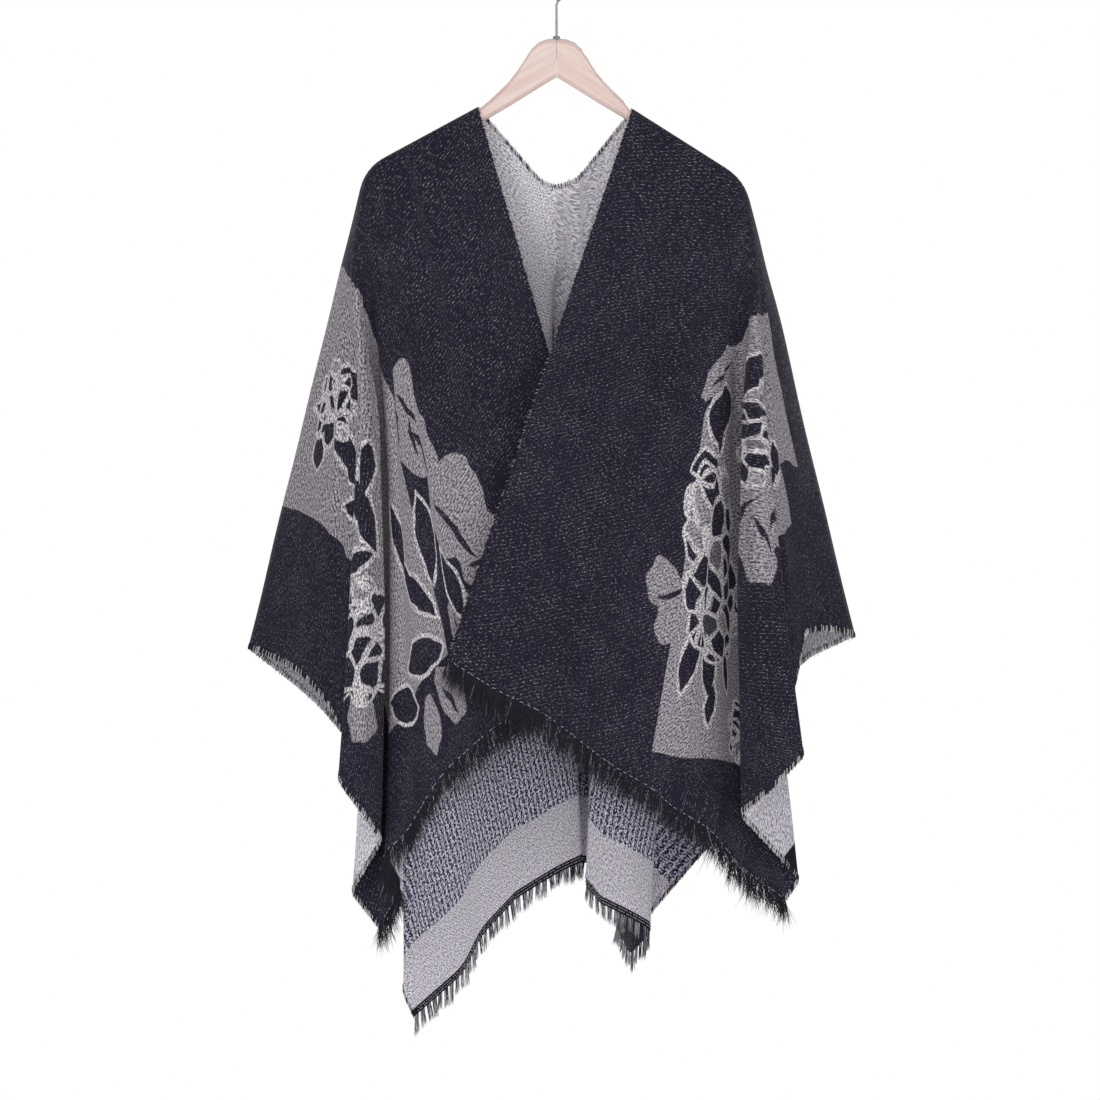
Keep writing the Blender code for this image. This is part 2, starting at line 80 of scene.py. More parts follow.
def maths(tree, operation, *values, clamp=False):
    made = add_node(tree, "Math", dict(enumerate(values)), operation=operation, use_clamp=clamp)
    return made.outputs[0]


def plus(tree, first, second, clamp=False):
    return maths(tree, "ADD", first, second, clamp=clamp)


def times(tree, first, second):
    return maths(tree, "MULTIPLY", first, second)


def mixed(tree, share, first, second, blend="MIX"):
    made = add_node(tree, "Mix", {0: share, 6: first, 7: second}, data_type="RGBA",
                    blend_type=blend, clamp_factor=True)
    return made.outputs[2]


def ramp(tree, value, low, high):
    """0 up to low, 1 from high on."""
    made = add_node(tree, "MapRange", {"Value": value, "From Min": low, "From Max": high},
                    clamp=True)
    return made.outputs["Result"]


def noise(tree, vector, scale, detail=2.0, roughness=0.5):
    return add_node(tree, "TexNoise", {"Vector": vector, "Scale": scale, "Detail": detail,
                                       "Roughness": roughness}).outputs["Fac"]


def mapped(tree, vector, scale=(1, 1, 1), turn=(0, 0, 0), shift=(0, 0, 0)):
    return add_node(tree, "Mapping", {"Vector": vector, "Location": shift, "Rotation": turn,
                                      "Scale": scale}).outputs[0]


def colour(red, green, blue):
    """A screen colour, 0 to 255, as the light it stands for."""
    return tuple((part / 255) ** 2.2 for part in (red, green, blue)) + (1.0,)


def new_material(name, roughness, **constants):
    made = bpy.data.materials.new(name)
    made.use_nodes = True
    shader = made.node_tree.nodes["Principled BSDF"]
    shader.inputs["Roughness"].default_value = roughness
    for socket, value in constants.items():
        label = socket.replace("_", " ").title().replace("Ior", "IOR")
        shader.inputs[label].default_value = value
    return made, made.node_tree, shader


def bumped(tree, shader, height, strength, distance):
    made = add_node(tree, "Bump", {"Strength": strength, "Distance": distance, "Height": height})
    tree.links.new(made.outputs["Normal"], shader.inputs["Normal"])


def finish_node(name, made):
    nodes[name].data.materials.clear()
    nodes[name].data.materials.append(made)


WOOD_PALE = colour(219, 196, 188)
WOOD_DARK = colour(203, 172, 160)
ARM_SLOPE = {"hanger_left": 29.0, "hanger_right": -34.0}
GRAIN = (9.0, 120.0, 160.0)         # waves in a metre, along the arm, through it and across
PORES = (160.0, 900.0, 1400.0)
PORE_SHADE = 0.35

for name, slope in ARM_SLOPE.items():
    made, tree, shader = new_material(name + "_beech", 0.38, coat_weight=0.25,
                                      coat_roughness=0.2)
    place = add_node(tree, "TexCoord").outputs["Object"]
    turned = mapped(tree, place, turn=(0, math.radians(slope), 0), shift=(slope * 0.01, 0, 0))
    grain = noise(tree, mapped(tree, turned, GRAIN), 1.0, 5.0, 0.6)
    pore = noise(tree, mapped(tree, turned, PORES), 1.0)
    shade = plus(tree, ramp(tree, grain, 0.35, 0.7),
                 times(tree, ramp(tree, pore, 0.55, 0.75), PORE_SHADE), clamp=True)
    tree.links.new(mixed(tree, shade, WOOD_PALE, WOOD_DARK), shader.inputs["Base Color"])
    bumped(tree, shader, pore, 0.08, 0.0005)
    finish_node(name, made)

# ------------------------------------------------------------------------------
# The hook is bright plated wire, screwed into the hanger through a turned collar.
# Faint smudges make its shine a little uneven.
# ------------------------------------------------------------------------------
STEEL_DARK = colour(106, 106, 107)
STEEL_PALE = colour(148, 147, 147)


def flecked(name, roughness, scale, dark, pale, detail=2.0, **constants):
    """A material that wanders between two tones, with its tree, its shader and the pattern."""
    made, tree, shader = new_material(name, roughness, **constants)
    fleck = noise(tree, add_node(tree, "TexCoord").outputs["Object"], scale, detail)
    tree.links.new(mixed(tree, fleck, dark, pale), shader.inputs["Base Color"])
    return made, tree, shader, fleck


steel, tree, shader, smudge = flecked("bright_wire", 0.16, 90.0, STEEL_DARK, STEEL_PALE, 3.0,
                                      metallic=1.0)
tree.links.new(ramp(tree, smudge, -1.0, 3.4), shader.inputs["Roughness"])
for name in ("hook", "hook_collar"):
    finish_node(name, steel)

# ------------------------------------------------------------------------------
# The cloth hangs from a line: the hanger's arms, the sleeves beyond them and the back of the
# neck.  Each row below is a fold or bend of a panel's free edge, as the solids have it, and
# each line of cloth runs from its place on the hanging line down to the edge.
# ------------------------------------------------------------------------------
# Lengths are millimetres; drop is down from the hook's top, depth is towards the back.
MM = 0.001
WALL = 1.4            # thickness of the cloth
RIDGE_GAP = 0.3       # front and back are parted by this along the shoulder
ARM_ROUND = 9.0       # radius of the cloth where it turns over an arm
FOLD_START = 0.04     # share of the way down at which the side folds begin
FOLD_FULL = 0.38      # share of the way down at which they are fully formed
SPREAD = 2.7          # how early the cloth leaves the plane of the hanger
COLUMN_STEP = 7.0     # from one column of points to the next
FOLD_TURNS = 5        # steps round each fold
LINE_PARTS = 20       # steps on each stretch of the hanging line
LINE_TURNS = 6        # steps round each of its corners
MOST_ROUND = 0.45     # share of a stretch that the rounding of its end takes up at most
ROWS_DOWN = 86        # rows of points from the arm down to the edge
ROWS_OVER_ARM = (0.0, 0.5, 1.2, 2.2, 3.6, 5.2, 7.0)
NECK_STEPS = (0.018, 0.05, 0.09)

HANG_LINE = (
    # place, across, drop, soft
    ("left sleeve", -224, 282, 0),
    ("left arm end", -210, 223, 24),
    ("left neck", -86, 156, 1),
    ("scoop left", -17, 236, 10),
    ("scoop middle", -1, 242, 6),
    ("scoop right", 23, 234, 10),
    ("right neck", 83, 158, 1),
    ("right arm end", 206, 236, 24),
    ("right sleeve", 221, 294, 0),
)
LEFT_NECK, RIGHT_NECK, HANG_END = 2.0, 6.0, 8.0       # places on this line, by their number

# One row for each fold or bend of a panel's free edge, in order along the cut.
#   cut     length along the flat cut edge, from the row that it starts at
#   hang    the place on the hanging line that the cloth here falls from
#   across, drop, depth    where the edge is
#   bow     how far the cloth is bowed to the right halfway down
#   soft    how far from the fold its rounding starts
LEFT_FRONT = (
    ("slit corner", 0, 2.00, 91, 770, -38, 0, 0),
    ("hem under right front", 75, 1.55, 15, 801, -46, 0, 25),
    ("hem left of slit", 165, 1.15, -62, 832, -61, 0, 25),
    ("hem middle", 330, 1.00, -128, 891, -75, 4, 25),
    ("hem outer", 470, 0.97, -167, 957, -90, 10, 12),
    ("hem fold", 510, 0.93, -192, 977, -80, 14, 18),
    ("hem return", 575, 0.90, -169, 1017, -50, 12, 12),
    ("hem corner", 672, 0.86, -195, 1057, -38, 12, 0),
    ("side fold", 722, 0.82, -225, 1019, -41, 8, 9),
    ("pleat inner edge", 803, 0.76, -191, 961, -84, 13, 9),
    ("pleat crest", 858, 0.70, -214, 925, -133, 8, 14),
    ("pleat outer edge", 911, 0.62, -239, 891, -122, 6, 10),
    ("pleat back", 1012, 0.50, -213, 857, -96, 8, 18),
    ("sleeve inner", 1055, 0.42, -233, 844, -87, 4, 9),
    ("sleeve dip", 1095, 0.36, -249, 810, -72, 2, 14),
    ("sleeve middle", 1170, 0.25, -282, 775, -49, 0, 25),
    ("sleeve outer", 1270, 0.10, -322, 757, -17, 0, 10),
    ("sleeve tip", 1312, 0.00, -339, 751, 0, 0, 0),
)

RIGHT_FRONT = (
    ("slit corner", 0, 6.00, -120, 764, -78, 0, 0),
    ("hem by slit", 75, 6.35, -62, 800, -86, 0, 25),
    ("hem before valley", 140, 6.65, -16, 821, -88, 0, 20),
    ("valley", 190, 6.80, 17, 847, -73, 0, 16),
    ("hem middle", 270, 6.95, 63, 882, -86, 0, 25),
    ("hem crest", 335, 7.00, 103, 903, -88, 0, 20),
    ("hem outer", 380, 7.02, 126, 925, -86, 0, 12),
    ("hem turning back", 450, 7.05, 167, 949, -68, -4, 16),
    ("hem behind pleat", 560, 7.10, 201, 992, -44, -8, 12),
    ("hem corner", 672, 7.14, 251, 1028, -29, -8, 0),
    ("side fold", 705, 7.18, 267, 1005, -31, -6, 8),
    ("pleat inner edge", 812, 7.25, 200, 932, -81, -8, 10),
    ("pleat crest", 856, 7.32, 231, 905, -127, -6, 14),
    ("pleat outer edge", 915, 7.40, 271, 865, -112, -5, 10),
    ("pleat back", 1010, 7.50, 237, 832, -86, -4, 18),
    ("sleeve inner", 1090, 7.62, 261, 790, -75, 0, 9),
    ("sleeve dip", 1140, 7.70, 268, 758, -62, 0, 10),
    ("sleeve middle", 1180, 7.76, 272, 734, -55, 0, 10),
    ("sleeve outer", 1245, 7.88, 292, 730, -36, 0, 14),
    ("sleeve edge", 1300, 7.97, 321, 735, -8, 0, 10),
    ("sleeve tip", 1312, 8.00, 328, 738, 0, 0, 0),
)

BACK = (
    ("left sleeve tip", 0, 0.00, -339, 751, 0, 0, 0),
    ("left sleeve edge", 15, 0.12, -328, 760, 12, 0, 10),
    ("left sleeve outer", 75, 0.33, -293, 788, 32, 0, 20),
    ("left sleeve middle", 130, 0.50, -262, 815, 49, 2, 20),
    ("left sleeve inner", 210, 0.62, -232, 852, 65, 4, 9),
    ("left pleat back", 250, 0.70, -218, 868, 81, 6, 9),
    ("left pleat outer edge", 340, 0.78, -232, 905, 122, 6, 10),
    ("left pleat crest", 400, 0.84, -204, 938, 151, 10, 14),
    ("left pleat inner edge", 470, 0.90, -176, 964, 127, 14, 10),
    ("left side fold", 570, 0.97, -196, 1011, 84, 14, 10),
    ("left side turn", 700, 1.02, -128, 1089, 68, 10, 10),
    ("left fold by corner", 820, 1.08, -172, 1124, -15, 10, 16),
    ("left hem corner", 865, 1.12, -157, 1156, -15, 8, 0),
    ("left hem outer", 900, 1.20, -140, 1141, -11, 6, 12),
    ("left hem bend", 960, 1.40, -103, 1109, 6, 4, 14),
    ("left hem rise", 1015, 1.60, -83, 1068, 22, 0, 14),
    ("left hem inner", 1090, 2.00, -45, 1028, 32, 0, 0),
    ("hem middle", 1160, 3.00, 2, 999, 43, 0, 25),
    ("hem going behind", 1210, 4.20, 35, 985, 51, 0, 14),
    ("hidden pleat left", 1300, 4.50, -50, 990, 84, 0, 14),
    ("hidden pleat back", 1340, 4.80, -40, 990, 126, 0, 14),
    ("hidden pleat right", 1430, 5.30, 58, 992, 112, 0, 12),
    ("hidden pleat side", 1470, 5.50, 62, 1000, 78, 0, 10),
    ("middle fold", 1540, 5.60, 30, 1010, 27, 0, 9),
    ("right hem inner", 1570, 6.00, 49, 1033, 22, 0, 0),
    ("right hem outer", 1610, 6.35, 80, 1048, 24, 0, 12),
    ("right hem fold", 1650, 6.60, 105, 1063, 38, 0, 9),
    ("right hem return", 1690, 6.72, 82, 1091, 70, 0, 8),
    ("right hidden fold", 1780, 6.90, 66, 1058, 124, 0, 10),
    ("right hem corner", 1850, 7.00, 92, 1066, 151, 0, 0),
    ("right side lower", 1900, 7.04, 126, 1025, 146, 0, 12),
    ("right side middle", 1955, 7.08, 162, 982, 124, -4, 12),
    ("right side turn", 2020, 7.15, 206, 938, 113, -8, 10),
    ("right pleat inner edge", 2090, 7.25, 178, 903, 151, -8, 10),
    ("right pleat crest", 2150, 7.35, 215, 874, 176, -6, 14),
    ("right pleat outer edge", 2210, 7.45, 255, 859, 146, -5, 10),
    ("right pleat back", 2300, 7.60, 233, 821, 100, -4, 10),
    ("right sleeve inner", 2390, 7.75, 263, 777, 62, 0, 14),
    ("right sleeve middle", 2440, 7.85, 281, 760, 40, 0, 10),
    ("right sleeve edge", 2500, 7.95, 318, 742, 12, 0, 10),
    ("right sleeve tip", 2515, 8.00, 328, 738, 0, 0, 0),
)

# Close under an arm's end the folds have not formed yet: there the cloth is an easy arc from
# one row to another, pulled towards a point.
#   rows it runs between, then the point's across, drop and depth
LEFT_FRONT_ARCS = (("hem middle", "sleeve tip", -290, 1040, -174),)
RIGHT_FRONT_ARCS = (("hem outer", "sleeve tip", 290, 1020, -156),)
BACK_ARCS = (
    ("left sleeve tip", "left hem bend", -270, 1150, 162),
    ("right hem fold", "right sleeve tip", 260, 1130, 176),
    ("hem middle", "right hem inner", 26, 990, 120),
)


def ease(share):
    share = np.clip(share, 0.0, 1.0)
    return share * share * (3.0 - 2.0 * share)


def between(places, first, last):
    return (places >= first) & (places <= last)


def arc(start, pull, end, share):
    """A place on the way from start to end that bends towards pull."""
    return (1 - share) ** 2 * start + 2 * share * (1 - share) * pull + share ** 2 * end


def run_along(points):
    """How far along a line each of its points is."""
    return np.append(0, np.cumsum(np.linalg.norm(np.diff(points, axis=0), axis=1)))


def round_corners(rows, points, softs, parts, turns):
    """Round a line of rows at each corner, measuring along the points that they stand at.

    parts holds the number of steps on each straight stretch and is filled in if it is empty.
    """
    walked = [rows[0]]
    filling = not parts
    done = 0

    def go_to(end, length):
        nonlocal done
        if filling:
            parts.append(max(1, math.ceil(length / COLUMN_STEP)))
        start, steps = walked[-1], parts[done]
        walked.extend(start + (end - start) * k / steps for k in range(1, steps + 1))
        done += 1

    spans = np.maximum(np.linalg.norm(np.diff(points, axis=0), axis=1), 0.01)
    cuts = [[0.0, 0.0] for _ in rows]
    for k in range(1, len(rows) - 1):
        cuts[k] = [min(softs[k] / span, MOST_ROUND) for span in spans[k - 1:k + 1]]
    for k in range(1, len(rows)):
        before, corner = rows[k - 1], rows[k]
        straight = spans[k - 1] * (1 - cuts[k - 1][1] - cuts[k][0])
        start = corner + (before - corner) * cuts[k][0]
        go_to(start, straight)
        if not softs[k] or k == len(rows) - 1:
            continue
        end = corner + (rows[k + 1] - corner) * cuts[k][1]
        walked.extend(arc(start, corner, end, turn / turns) for turn in range(1, turns + 1))
    return np.array(walked)


def hanging_line():
    """The hanging line as rows of hang number, across and height, its corners rounded."""
    rows = np.array([(k, across, -drop) for k, (_, across, drop, _) in enumerate(HANG_LINE)])
    softs = [row[3] for row in HANG_LINE]
    return round_corners(rows, rows[:, 1:], softs, [LINE_PARTS] * (len(rows) - 1), LINE_TURNS)


def from_ridge(points, line):
    """How far each point is, across and up, from the nearer shoulder's ridge."""
    nearest = np.full(len(points), np.inf)
    left_tip, right_tip = [(row[3], -row[4]) for row in (LEFT_FRONT[-1], RIGHT_FRONT[-1])]
    left = np.vstack([[left_tip], line[line[:, 0] <= LEFT_NECK][:, 1:]])
    right = np.vstack([line[line[:, 0] >= RIGHT_NECK][:, 1:], [right_tip]])
    for ridge in (left, right):
        for start, end in zip(ridge, ridge[1:]):
            way = end - start
            share = np.clip(((points - start) @ way) / (way @ way), 0.0, 1.0)
            gap = np.linalg.norm(points - start - share[:, None] * way, axis=1)
            nearest = np.minimum(nearest, gap)
    return nearest


def hung(rows, level, table, arcs, side, line):
    """Where the cloth is at one level, for rows of cut, hang, across, drop, depth and bow.

    The level is a distance below the hanging line, and a share of the way on to the free edge.
    """
    cut, hang, across, drop, depth, bow = rows.T
    top = np.stack([np.interp(hang, line[:, 0], line[:, 1]),
                    np.interp(hang, line[:, 0], line[:, 2])], axis=1)
    folded = np.stack([across, -drop, depth], axis=1)
    easy = folded.copy()
    places = {row[0]: row for row in table}
    for first, last, pull_across, pull_drop, pull_depth in arcs:
        start, end = places[first], places[last]
        inside = between(cut, start[1], end[1])
        share = ((cut - start[1]) / (end[1] - start[1]))[inside, None]
        ends = [np.array([row[3], -row[4], row[5]], float) for row in (start, end)]
        pull = np.array([pull_across, -pull_drop, pull_depth], float)
        easy[inside] = arc(ends[0], pull, ends[1], share)
    over = level[0] / np.linalg.norm(folded[:, :2] - top, axis=1)
    share = over + (1 - over) * level[1]
    formed = ease((share - FOLD_START) / (FOLD_FULL - FOLD_START))[:, None]
    target = easy + (folded - easy) * formed
    place = top + (target[:, :2] - top) * share[:, None]
    place[:, 0] += bow * 4 * share * (1 - share) * formed[:, 0]
    reach = np.clip(from_ridge(place, line) / ARM_ROUND, 0.0, 1.0)
    turned = np.sqrt(1 - (1 - reach) ** 2)
    out = side * (RIDGE_GAP / 2 + (ARM_ROUND - RIDGE_GAP / 2) * turned * (1 - share))
    out += target[:, 2] * (1 - (1 - share) ** SPREAD)
    return np.stack([place[:, 0], out, place[:, 1]], axis=1)


def drape(table, arcs, side):
    """Middle surface of a hung panel, as a grid of points: rows down, columns along the cut.

    Each column is one line of cloth from the hanging line down to the free edge.  Returned
    with it is the free edge, as rows of cut, hang, across, drop, depth and bow.
    """
    line = hanging_line()
    folds = [list(row[1:]) for row in table]
    hangs, columns = [fold[1] for fold in folds], list(zip(*folds))
    by_necks = [LEFT_NECK + step for step in NECK_STEPS]
    by_necks += [RIGHT_NECK - step for step in NECK_STEPS]
    for hang in by_necks:
        if hangs[0] < hang < hangs[-1]:
            folds.append([np.interp(hang, hangs, column) for column in columns[:6]] + [0])
    folds.sort(key=lambda fold: fold[0])
    rows = np.array([fold[:6] for fold in folds], float)
    softs = [fold[6] for fold in folds]
    levels = [(distance, 0.0) for distance in ROWS_OVER_ARM]
    levels += [(ROWS_OVER_ARM[-1], (row + 1) / ROWS_DOWN) for row in range(ROWS_DOWN)]
    parts, grid, edges = [], [], []
    for level in reversed(levels):
        points = hung(rows, level, table, arcs, side, line)
        edges.append(round_corners(rows, points, softs, parts, FOLD_TURNS))
        grid.append(hung(edges[-1], level, table, arcs, side, line))
    return np.array(grid[::-1]), edges[0]


def outward_normals(grid, ridge_top, ridge_sides):
    """Unit normals out of the cloth's outer face; along a ridge they lie in its own plane."""
    down = np.gradient(grid, axis=0)
    along = np.gradient(grid, axis=1)
    normals = np.cross(along, down)
    away = np.sign(grid[..., 0])

    def in_plane(way, outside):
        across = np.stack([-way[:, 2], np.zeros(len(way)), way[:, 0]], axis=1)
        facing = across[:, 2] + 0.3 * across[:, 0] * outside
        return across * np.sign(facing)[:, None]

    normals[0, ridge_top] = in_plane(along[0, ridge_top], away[0, ridge_top])
    for column in ridge_sides:
        normals[:, column] = in_plane(down[:, column], away[:, column])
    return normals / np.linalg.norm(normals, axis=2, keepdims=True)


# Small soft creases that the weight of the cloth leaves, along straight lines on a panel.
#   across and drop where it starts and ends, its half width, and how far it stands out
CREASES = {
    "left_front": (
        (-98, 172, -30, 640, 26, 1.8), (-120, 190, -96, 800, 34, -2.6),
        (-165, 214, -150, 520, 22, 2.4), (-150, 460, -146, 860, 20, -2.2),
        (-228, 357, -230, 480, 7, -2.2), (-236, 533, -238, 654, 8, -2.4),
        (-222, 300, -262, 720, 14, 2.0), (-60, 420, -84, 800, 26, 2.2),
    ),
    "right_front": (
        (92, 176, 30, 560, 26, 1.8), (140, 205, 70, 820, 32, -2.6),
        (176, 226, 150, 600, 22, 2.6), (10, 620, 22, 850, 14, -2.4),
        (44, 520, 84, 880, 30, 2.2), (-30, 480, -72, 770, 24, -1.8),
        (232, 300, 268, 640, 12, 2.0), (196, 360, 208, 700, 9, -2.2),
    ),
    "back": (
        (7, 322, 0, 450, 8, 13.0), (-100, 180, -60, 620, 30, 2.4), (-40, 250, -30, 900, 26, -2.0),
        (96, 190, 60, 700, 28, 2.6), (-170, 230, -120, 980, 24, 2.2), (40, 300, 30, 820, 22, -2.4),
        (150, 220, 110, 760, 26, -2.2), (-10, 520, -60, 960, 34, 1.8),
    ),
}
CREASE_START = 60.0       # below the arms, over which the creases set in
CREASE_END = 0.3          # share of a crease over which it runs out
BROAD_WAVE, FINE_WAVE = 0.5, 0.3


def crease(name, grid, normals):
    """Press the panel's creases into it, and the slight unevenness of cloth that has hung."""
    across, down = grid[..., 0], -grid[..., 2]
    lift = np.zeros(across.shape)
    for across_1, drop_1, across_2, drop_2, half_width, height in CREASES[name]:
        way = np.array([across_2 - across_1, drop_2 - drop_1], float)
        share = ((across - across_1) * way[0] + (down - drop_1) * way[1]) / (way @ way)
        off = np.hypot(across - across_1 - share * way[0], down - drop_1 - share * way[1])
        ends = ease(share / CREASE_END) * ease((1 - share) / CREASE_END)
        lift += height * np.exp(-(off / half_width) ** 2) * ends
    lift += BROAD_WAVE * np.sin(across / 31 + down / 83) * np.sin(down / 57 + 1.3)
    lift += FINE_WAVE * np.sin(across / 13 - down / 47 + 0.6)
    held = ease((down - down[0]) / CREASE_START)
    return grid + normals * (lift * held)[..., None]


FRONT_LENGTH = 640.0      # of the flat cut, down from the shoulder line
BACK_LENGTH = 865.0
HALF_WIDTH = 672.0        # out from the slit
NECK_SLIT = 118.0         # how far the slit goes on past the shoulder line
NECK_WIDTH = 169.0        # how far it opens there
# Where the hems' ends and the last sleeve tips are along the cut, in the tables above.
FRONT_HEM, FRONT_END = (0, 672), 1312
BACK_HEM, BACK_END = (865, 1850), 2515
# The right front's grey block: its edge towards the slit, and the slant of its lower edge.
BLOCK_DOWN = (54, 153, 254, 320, 414, 604)
BLOCK_ACROSS = (292, 250, 216, 238, 268, 317)
BLOCK_EDGE = 250          # where the pattern has that edge, before it is moved
BLOCK_WIDTH = 190
SLANT = 0.31
SLANT_START = 380
SLANT_SETS_IN = 150
SLANT_ENDS = 25           # above the hem


def flat_places(name, grid, edge):
    """Where each point lies on the flat cloth, in metres: out from the slit, and down."""
    line = hanging_line()
    run = run_along(line[:, 1:])
    left_neck, right_neck = np.interp((LEFT_NECK, RIGHT_NECK), line[:, 0], run)
    cut, hang = edge[:, 0], edge[:, 1]
    at = np.interp(hang, line[:, 0], run)
    if name == "back":
        middle = (at - left_neck) / (right_neck - left_neck)
        top_across = np.minimum(at - left_neck, 0) + np.maximum(at - right_neck, 0)
        top_across += NECK_WIDTH * (np.clip(middle, 0, 1) - 0.5)
        top_down = NECK_SLIT * np.clip(1 - abs(2 * middle - 1), 0, 1)
        low_across = np.interp(cut, BACK_HEM, (-HALF_WIDTH, HALF_WIDTH))
        low_down = np.interp(cut, (0, *BACK_HEM, BACK_END), (0, BACK_LENGTH, BACK_LENGTH, 0))
    else:
        top_across = abs(at - (left_neck if name == "left_front" else right_neck))
        top_down = np.zeros(len(cut))
        low_across = np.minimum(cut, HALF_WIDTH)
        low_down = FRONT_LENGTH - np.maximum(cut - HALF_WIDTH, 0)
    length = np.cumsum(np.linalg.norm(np.diff(grid, axis=0), axis=2), axis=0)
    share = np.vstack([np.zeros(len(cut)), length / length[-1]])
    across = top_across + (low_across - top_across) * share
    down = top_down + (low_down - top_down) * share
    if name == "right_front":
        block = np.interp(down, BLOCK_DOWN, BLOCK_ACROSS)
        across = np.where(across < block, across * BLOCK_EDGE / block,
                          across + BLOCK_EDGE - block)
        pulled = np.clip(across - BLOCK_EDGE, 0, BLOCK_WIDTH)
        pulled *= ease((down - SLANT_START) / SLANT_SETS_IN)
        down = down + SLANT * pulled * ease((FRONT_LENGTH - down) / SLANT_ENDS)
    return np.stack([across, down], axis=2) * MM


def sew_mesh(name, points, faces, finishes, which=None):
    mesh = bpy.data.meshes.new(name)
    mesh.from_pydata([tuple(point) for point in np.asarray(points) * MM], [], faces)
    for finish in finishes:
        mesh.materials.append(finish)
    if which is not None:
        mesh.polygons.foreach_set("material_index", which)
    obj = bpy.data.objects.new(name, mesh)
    bpy.context.collection.objects.link(obj)
    mesh.shade_smooth()
    return obj


def weave_panel(name, table, arcs, side, outer, inner):
    """One panel of cloth with both its faces; its grid, normals and edge are for the sewing."""
    grid, edge = drape(table, arcs, side)
    if name == "right_front":
        grid, edge = grid[:, ::-1], edge[::-1]
    hang = edge[:, 1]
    sides = [column for column in (0, len(edge) - 1)
             if hang[column] < 0.01 or hang[column] > HANG_END - 0.01]
    normals = outward_normals(grid, (hang <= LEFT_NECK) | (hang >= RIGHT_NECK), sides)
    grid = crease(name, grid, normals)
    flat = flat_places(name, grid, edge)
    rows, columns = grid.shape[:2]
    numbers = np.arange(rows * columns).reshape(rows, columns)
    quads = np.stack([numbers[:-1, :-1], numbers[1:, :-1], numbers[1:, 1:], numbers[:-1, 1:]],
                     axis=2).reshape(-1, 4)
    border = np.concatenate([numbers[0, :-1], numbers[:-1, -1], numbers[-1, :0:-1],
                             numbers[:0:-1, 0]])
    ahead = np.roll(border, -1)
    count = rows * columns
    rim = np.stack([ahead, border, count + border, count + ahead], axis=1)
    faces = np.vstack([quads[:, ::-1], quads + count, rim])
    points = np.vstack([(grid + normals * WALL / 2).reshape(-1, 3),
                        (grid - normals * WALL / 2).reshape(-1, 3)])
    which = np.concatenate([np.zeros(len(quads), int), np.ones(len(quads) + len(rim), int)])
    panel = sew_mesh(name + "_cloth", points, faces.tolist(), (outer, inner), which)
    layer = panel.data.uv_layers.new(name="flat")
    loops = np.zeros(len(panel.data.loops), int)
    panel.data.loops.foreach_get("vertex_index", loops)
    layer.data.foreach_set("uv", flat.reshape(-1, 2)[loops % count].ravel())
    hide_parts(name)
    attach(panel, "root")
    return panel, grid, normals, edge


# ------------------------------------------------------------------------------
# The weave is a double-faced twill: what is dark outside is pale inside.  Pale slubs fleck
# the dark face.  At the sides stand grey blocks with flowers, leaves and rounded petals,
# a general floral pattern with its own shapes and layout.
# ------------------------------------------------------------------------------
def new_group(name, inputs, outputs):
    group = bpy.data.node_groups.new(name, "ShaderNodeTree")
    for socket, kind in inputs:
        group.interface.new_socket(socket, in_out="INPUT", socket_type="NodeSocket" + kind)
    for socket, kind in outputs:
        group.interface.new_socket(socket, in_out="OUTPUT", socket_type="NodeSocket" + kind)
    entry = group.nodes.new("NodeGroupInput")
    leave = group.nodes.new("NodeGroupOutput")
    return group, entry.outputs, leave.inputs


def use_group(tree, group, **values):
    made = tree.nodes.new("ShaderNodeGroup")
    made.node_tree = group
    for name, value in values.items():
        socket = made.inputs[name.replace("_", " ")]
        if isinstance(value, bpy.types.NodeSocket):
            tree.links.new(value, socket)
        else:
            socket.default_value = value
    return made.outputs


def less(tree, first, second):
    return maths(tree, "SUBTRACT", first, second)


# Twill: lines of floats on the slant, the pale slubs that show between them, and the relief.
ONE_TURN = 6.283

twill, given, out = new_group(
    "twill", [("Place", "Vector"), ("Line Gap", "Float"), ("Slant", "Float")],
    [("Slub", "Float"), ("Speck", "Float"), ("Line", "Float")])
turned = add_node(twill, "VectorRotate", {"Vector": given["Place"], "Angle": given["Slant"]},
                  rotation_type="Z_AXIS").outputs[0]
parts = add_node(twill, "SeparateXYZ", {0: turned}).outputs
wander = times(twill, noise(twill, turned, 60.0), 0.7)
turns = maths(twill, "DIVIDE", parts[1], given["Line Gap"])
line = maths(twill, "SINE", times(twill, plus(twill, turns, wander), ONE_TURN))
slub = noise(twill, mapped(twill, turned, (330.0, 1250.0, 1.0)), 1.0, 1.0)
patch = noise(twill, turned, 24.0, 1.0)
bare = plus(twill, less(twill, slub, times(twill, patch, 0.10)), times(twill, line, 0.045))
twill.links.new(ramp(twill, bare, 0.56, 0.72), out["Slub"])
fine = mapped(twill, turned, (300.0, 560.0, 1.0))
twill.links.new(noise(twill, fine, 1.0, 1.0, 0.6), out["Speck"])
twill.links.new(ramp(twill, line, -1.0, 1.0), out["Line"])

# Each shape puts out how far its outline is, in metres, less than 0 inside it.
SHAPE_SOCKETS = [("Place", "Vector"), ("Across", "Float"), ("Down", "Float"),
                 ("Length", "Float"), ("Width", "Float"), ("Turn", "Float")]


